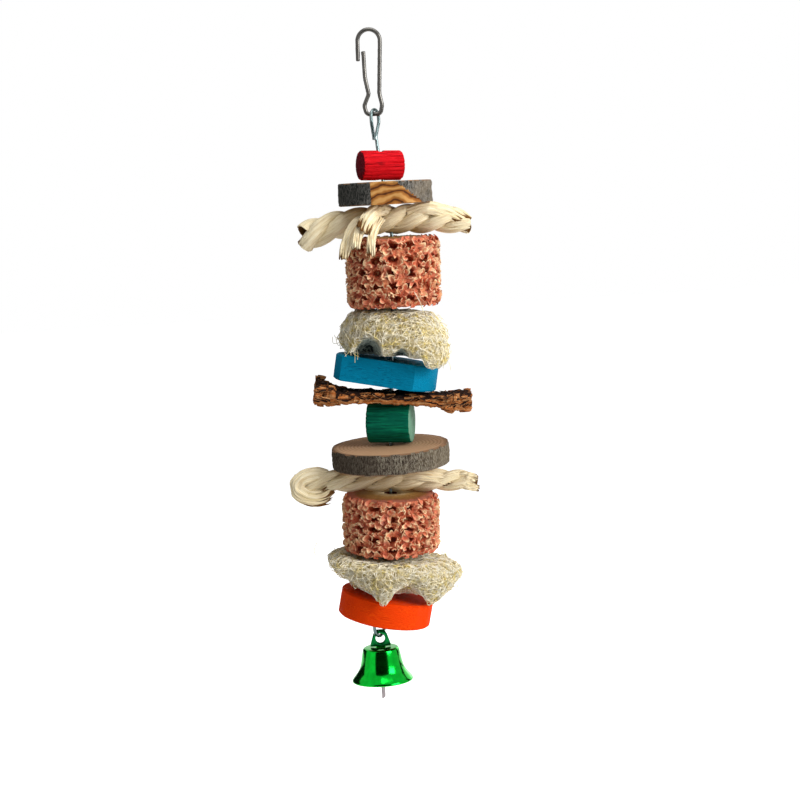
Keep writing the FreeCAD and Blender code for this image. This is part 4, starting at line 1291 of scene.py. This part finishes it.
def make_clapper():
    """A small ring in the bell's tongue and a plain rod below it, its tip cut at a slant."""
    low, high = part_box("clapper")
    middle = (low + high) / 2
    ring_radius, ring_wire = 1.6 * MM, 0.45 * MM
    select_nothing()
    bpy.ops.mesh.primitive_torus_add(major_radius=ring_radius, minor_radius=ring_wire,
                                     major_segments=40, minor_segments=16,
                                     rotation=(0, math.radians(90), 0))
    bpy.ops.object.transform_apply(rotation=True)
    ring = named("clapper_ring")
    place(ring, Matrix.Translation((middle.x, middle.y, high.z - ring_radius)))
    length = high.z - low.z - 2.6 * MM
    rod = lathe("clapper_rod", [(0.3 * MM, 0), (0.7 * MM, -0.15 * MM), (0.7 * MM, -0.5 * length),
                                (0.68 * MM, -length + 0.3 * MM), (0.5 * MM, -length)], 32, False)
    close_ends(rod)
    for vertex in rod.data.vertices:
        if vertex.co.z < -length * 0.9:
            vertex.co.z += vertex.co.x * 0.6
    place(rod, Matrix.Translation((middle.x, middle.y, high.z - 2.9 * MM)))
    dull = plated_wire("dull_clapper_rod", "#A39A9C", "#6E686A")
    for piece, nodes, angle in ((rod, ["clapper"], 40), (ring, [], 60)):
        smooth(piece, angle)
        wear(piece, dull)
        hang(piece, "clapper", nodes)


# Camera and studio

def make_camera():
    """The camera that took the picture: low, long, and rolled a little."""
    camera = linked("camera", bpy.data.cameras.new("camera"))
    rise = math.radians(CAMERA_ELEVATION)
    back = Vector((0, -math.cos(rise), math.sin(rise)))
    camera.location = CAMERA_AIM + back * CAMERA_DISTANCE
    camera.rotation_mode = "QUATERNION"
    level = (-back).to_track_quat("-Z", "Y")
    camera.rotation_quaternion = level @ Quaternion((0, 0, 1), math.radians(CAMERA_ROLL))
    camera.data.lens = CAMERA_LENS
    camera.data.sensor_width = 36.0
    camera.data.clip_start = 0.01
    bpy.context.scene.camera = camera


def make_cards():
    """Black cards round the toy, which put the dark bands into bright metal."""
    paper, tree = new_material("black_card", roughness=1.0, Base_Color=srgb("#202A2A"))
    for name, where, wide, tall in (("bell_card", (-0.008, -0.17, -0.002), 0.24, 0.19),
                                    ("left_card", (-0.60, 0.50, 0.0), 0.8, 0.70),
                                    ("right_card", (0.60, 0.50, 0.0), 0.45, 0.70)):
        select_nothing()
        bpy.ops.mesh.primitive_plane_add(size=1.0)
        card = named(name)
        facing = Vector((-where[0], -where[1], 0)).to_track_quat("Z", "Y").to_matrix().to_4x4()
        place(card, Matrix.Translation(Vector(where) + CAMERA_AIM) @ facing
              @ Matrix.Diagonal((wide, tall, 1, 1)))
        wear(card, paper)
        for ray in ("visible_camera", "visible_diffuse", "visible_shadow", "visible_transmission"):
            setattr(card, ray, False)


def seen_rays(tree):
    """1 for what the eye sees straight or in a mirror, 0 for the light that falls on things."""
    rays = add(tree, "ShaderNodeLightPath").outputs
    return worked(tree, "MAXIMUM", rays["Is Camera Ray"], rays["Is Glossy Ray"])


def make_floor():
    """A pale sweep below that glows white to the eye."""
    select_nothing()
    bpy.ops.mesh.primitive_plane_add(size=6.0, location=(0, 0, cad_box[0].z - 30 * MM))
    bpy.ops.object.transform_apply(location=True)
    floor = named("studio_floor")
    material, tree = new_material("matt_paper", roughness=1.0, Base_Color=srgb("#F4F4F4"))
    plain = tree.nodes[SHADER].outputs[0]
    glow = add(tree, "ShaderNodeEmission", {"Color": (1, 1, 1, 1), "Strength": 0.85}).outputs[0]
    both = add(tree, "ShaderNodeAddShader", {0: plain, 1: glow}).outputs[0]
    mixed = add(tree, "ShaderNodeMixShader", {0: seen_rays(tree), 1: plain, 2: both}).outputs[0]
    tree.links.new(mixed, tree.nodes["Material Output"].inputs["Surface"])
    wear(floor, material)


def make_light():
    """Soft lamps round the toy, each with its place from the aim, its size in metres and its
    watts, and white all round for the eye."""
    world = bpy.data.worlds.new("white_studio")
    bpy.context.scene.world = world
    world.use_nodes = True
    tree = world.node_tree
    strength = add(tree, "ShaderNodeMapRange", {"Value": seen_rays(tree), "To Min": 0.2,
                                                "To Max": 1.0}).outputs["Result"]
    shade = tree.nodes["Background"]
    shade.inputs["Color"].default_value = (1, 1, 1, 1)
    tree.links.new(strength, shade.inputs["Strength"])
    for name, where, wide, watts in (("key_softbox", (0.58, -0.42, 0.25), 0.36, 5.2),
                                     ("fill_softbox", (-0.60, -0.45, 0.05), 0.45, 0.15),
                                     ("top_softbox", (0.05, -0.10, 0.45), 0.35, 1.3),
                                     ("rim_softbox", (0.35, 0.50, 0.10), 0.40, 0.8)):
        lamp = bpy.data.lights.new(name, "AREA")
        lamp.size = wide
        lamp.energy = watts
        holder = linked(name, lamp)
        holder.location = Vector(where) + CAMERA_AIM
        holder.rotation_mode = "QUATERNION"
        holder.rotation_quaternion = (-Vector(where)).to_track_quat("-Z", "Y")
    bpy.context.scene.view_settings.view_transform = "Standard"


make_camera()
make_floor()
make_light()
make_cards()
make_wire("hanging_clip", "clip_wire", CLIP_WIRE,
          plated_wire("plated_spring_wire", "#66645F", "#464442"), "clip")
make_wire("spindle_wire", "threading_wire", SPINDLE_WIRE,
          plated_wire("galvanised_wire", "#7C8A8A", "#4E5E5E"), "spindle")
make_bead("red_bead", 20.0, ("#6A0810", "#C4101A", "#E2202A"), ("#3E0810", "#5A0F1C", "#8A1420"))
make_slice("top_slice", ("#C09A72", "#9A7452", "#A8866A", 1.6),
           ("#201F20", "#504E48", "#94908A", "#B4A288", "#2C302E"))
leaves = (dried_husk(), husk_end())
make_husk("upper_husk", 10.0 * MM, 31 * MM, 28 * MM, 5.2 * MM, leaves)
for name, points, widths, curl in (
        ("upper_knot", ((1, -2, 3.2), (-2, -7, 4.6), (-5, -12, 3.8), (-8, -16.5, 1.0),
                        (-10, -18.5, -3.2)), (7.0, 8.0), 170),
        ("upper_tail_left", ((-6, -8, 2), (-12, -13, -1), (-15.5, -15.5, -7), (-17, -16.2, -13)),
         (5.5, 4.0), 80),
        ("upper_tail_middle", ((-5, -9, 1), (-10, -15.5, -2), (-12, -18.2, -6.5),
                               (-12.4, -18.8, -9.5)), (4.0, 3.0), 70),
        ("upper_tail_right", ((-3, -8, 1), (-5.5, -15, -2.5), (-7.0, -19.0, -7),
                              (-7.2, -19.8, -12.5)), (3.5, 3.0), 70),
        ("upper_lobe_right", ((6, -3.5, 2.5), (13, -5.6, 3.8), (20, -4.5, 2.0), (27, -2.5, -2.2)),
         (5.0, 6.5), 110)):
    make_tail(name, "upper_husk", points, widths, curl, leaves)
make_cob("upper_cob", 11)
make_loofah("upper_loofah",
            (((-50, 42, 32, 21.2, 4.8, 0.34),),
             ((-8.0, -6.6, 4.8, 5.6), (3.6, -7.6, 2.6, 3.6))),
            ((10.6, -15.5, 6.5), (10.2, -16.0, 9.5), (9.3, -16.6, 12.5), (7.0, -17.2, 15.8)))
make_disc("blue_disc", ("#015E7E", "#027A9E", "#0488B0"),
          (((9.9, -14.2, 0), (-0.22, -0.975, 0)), ((9.9, -14.2, 0), (0.58, -0.81, 0))))
make_bark()
make_bead("green_bead", -10.5, ("#03332C", "#085E48", "#0E845E"), ("#4E8468", "#6E9C82", "#8FB49C"))
make_slice("lower_slice", ("#BE9A78", "#A98462", "#B08A66", 1.3),
           ("#1E1612", "#554A40", "#9C9482", "#9A8C74", "#453A30"))
make_husk("lower_husk", 7.9 * MM, 35 * MM, 31 * MM, 2.0 * MM, leaves)
for name, points, widths, curl in (
        ("lower_fold", ((-22.6, -2.0, 1.6), (-27, -3.6, 3.0), (-32, -4.6, 1.6), (-34, -5.0, -2.0),
                        (-30, -6.0, -5.0), (-24.5, -5.0, -5.4), (-20.5, -3.4, -3.2)),
         (6.0, 7.0), 100),
        ("lower_tuft_high", ((23, -1.0, 0.8), (27, -2.8, 1.8), (31.5, -3.0, 0.6)), (3.6, 3.0), 80),
        ("lower_tuft_low", ((23, -2.0, -0.8), (27, -3.6, -1.8), (32, -2.8, -3.0)), (3.4, 2.4), 80),
        ("lower_lobe", ((3, -2.6, 1.8), (9, -4.6, 2.6), (16, -4.2, 1.6), (22, -2.4, -0.6)),
         (4.0, 5.0), 110)):
    make_tail(name, "lower_husk", points, widths, curl, leaves)
make_cob("lower_cob", 23)
make_loofah("lower_loofah",
            (((-150, 44, 30, 12.0, -4.0, 0.0), (-88, 26, 10, 18.6, 6.0, 0.26),
              (-62, 8, 14, 12.0, -3.4, 0.0), (-32, 18, 30, 18.6, 4.6, 0.08)), ()),
            ((-22.5, -5.0, 2.0), (-25.0, -6.0, 4.0), (-26.5, -5.0, 7.0), (-25.2, -4.0, 9.5)))
make_disc("orange_disc", ("#D83404", "#EC4006", "#F6500A"),
          (((14.0, -11.0, 0), (0.80, -0.6, 0)),))
make_bell()
make_clapper()
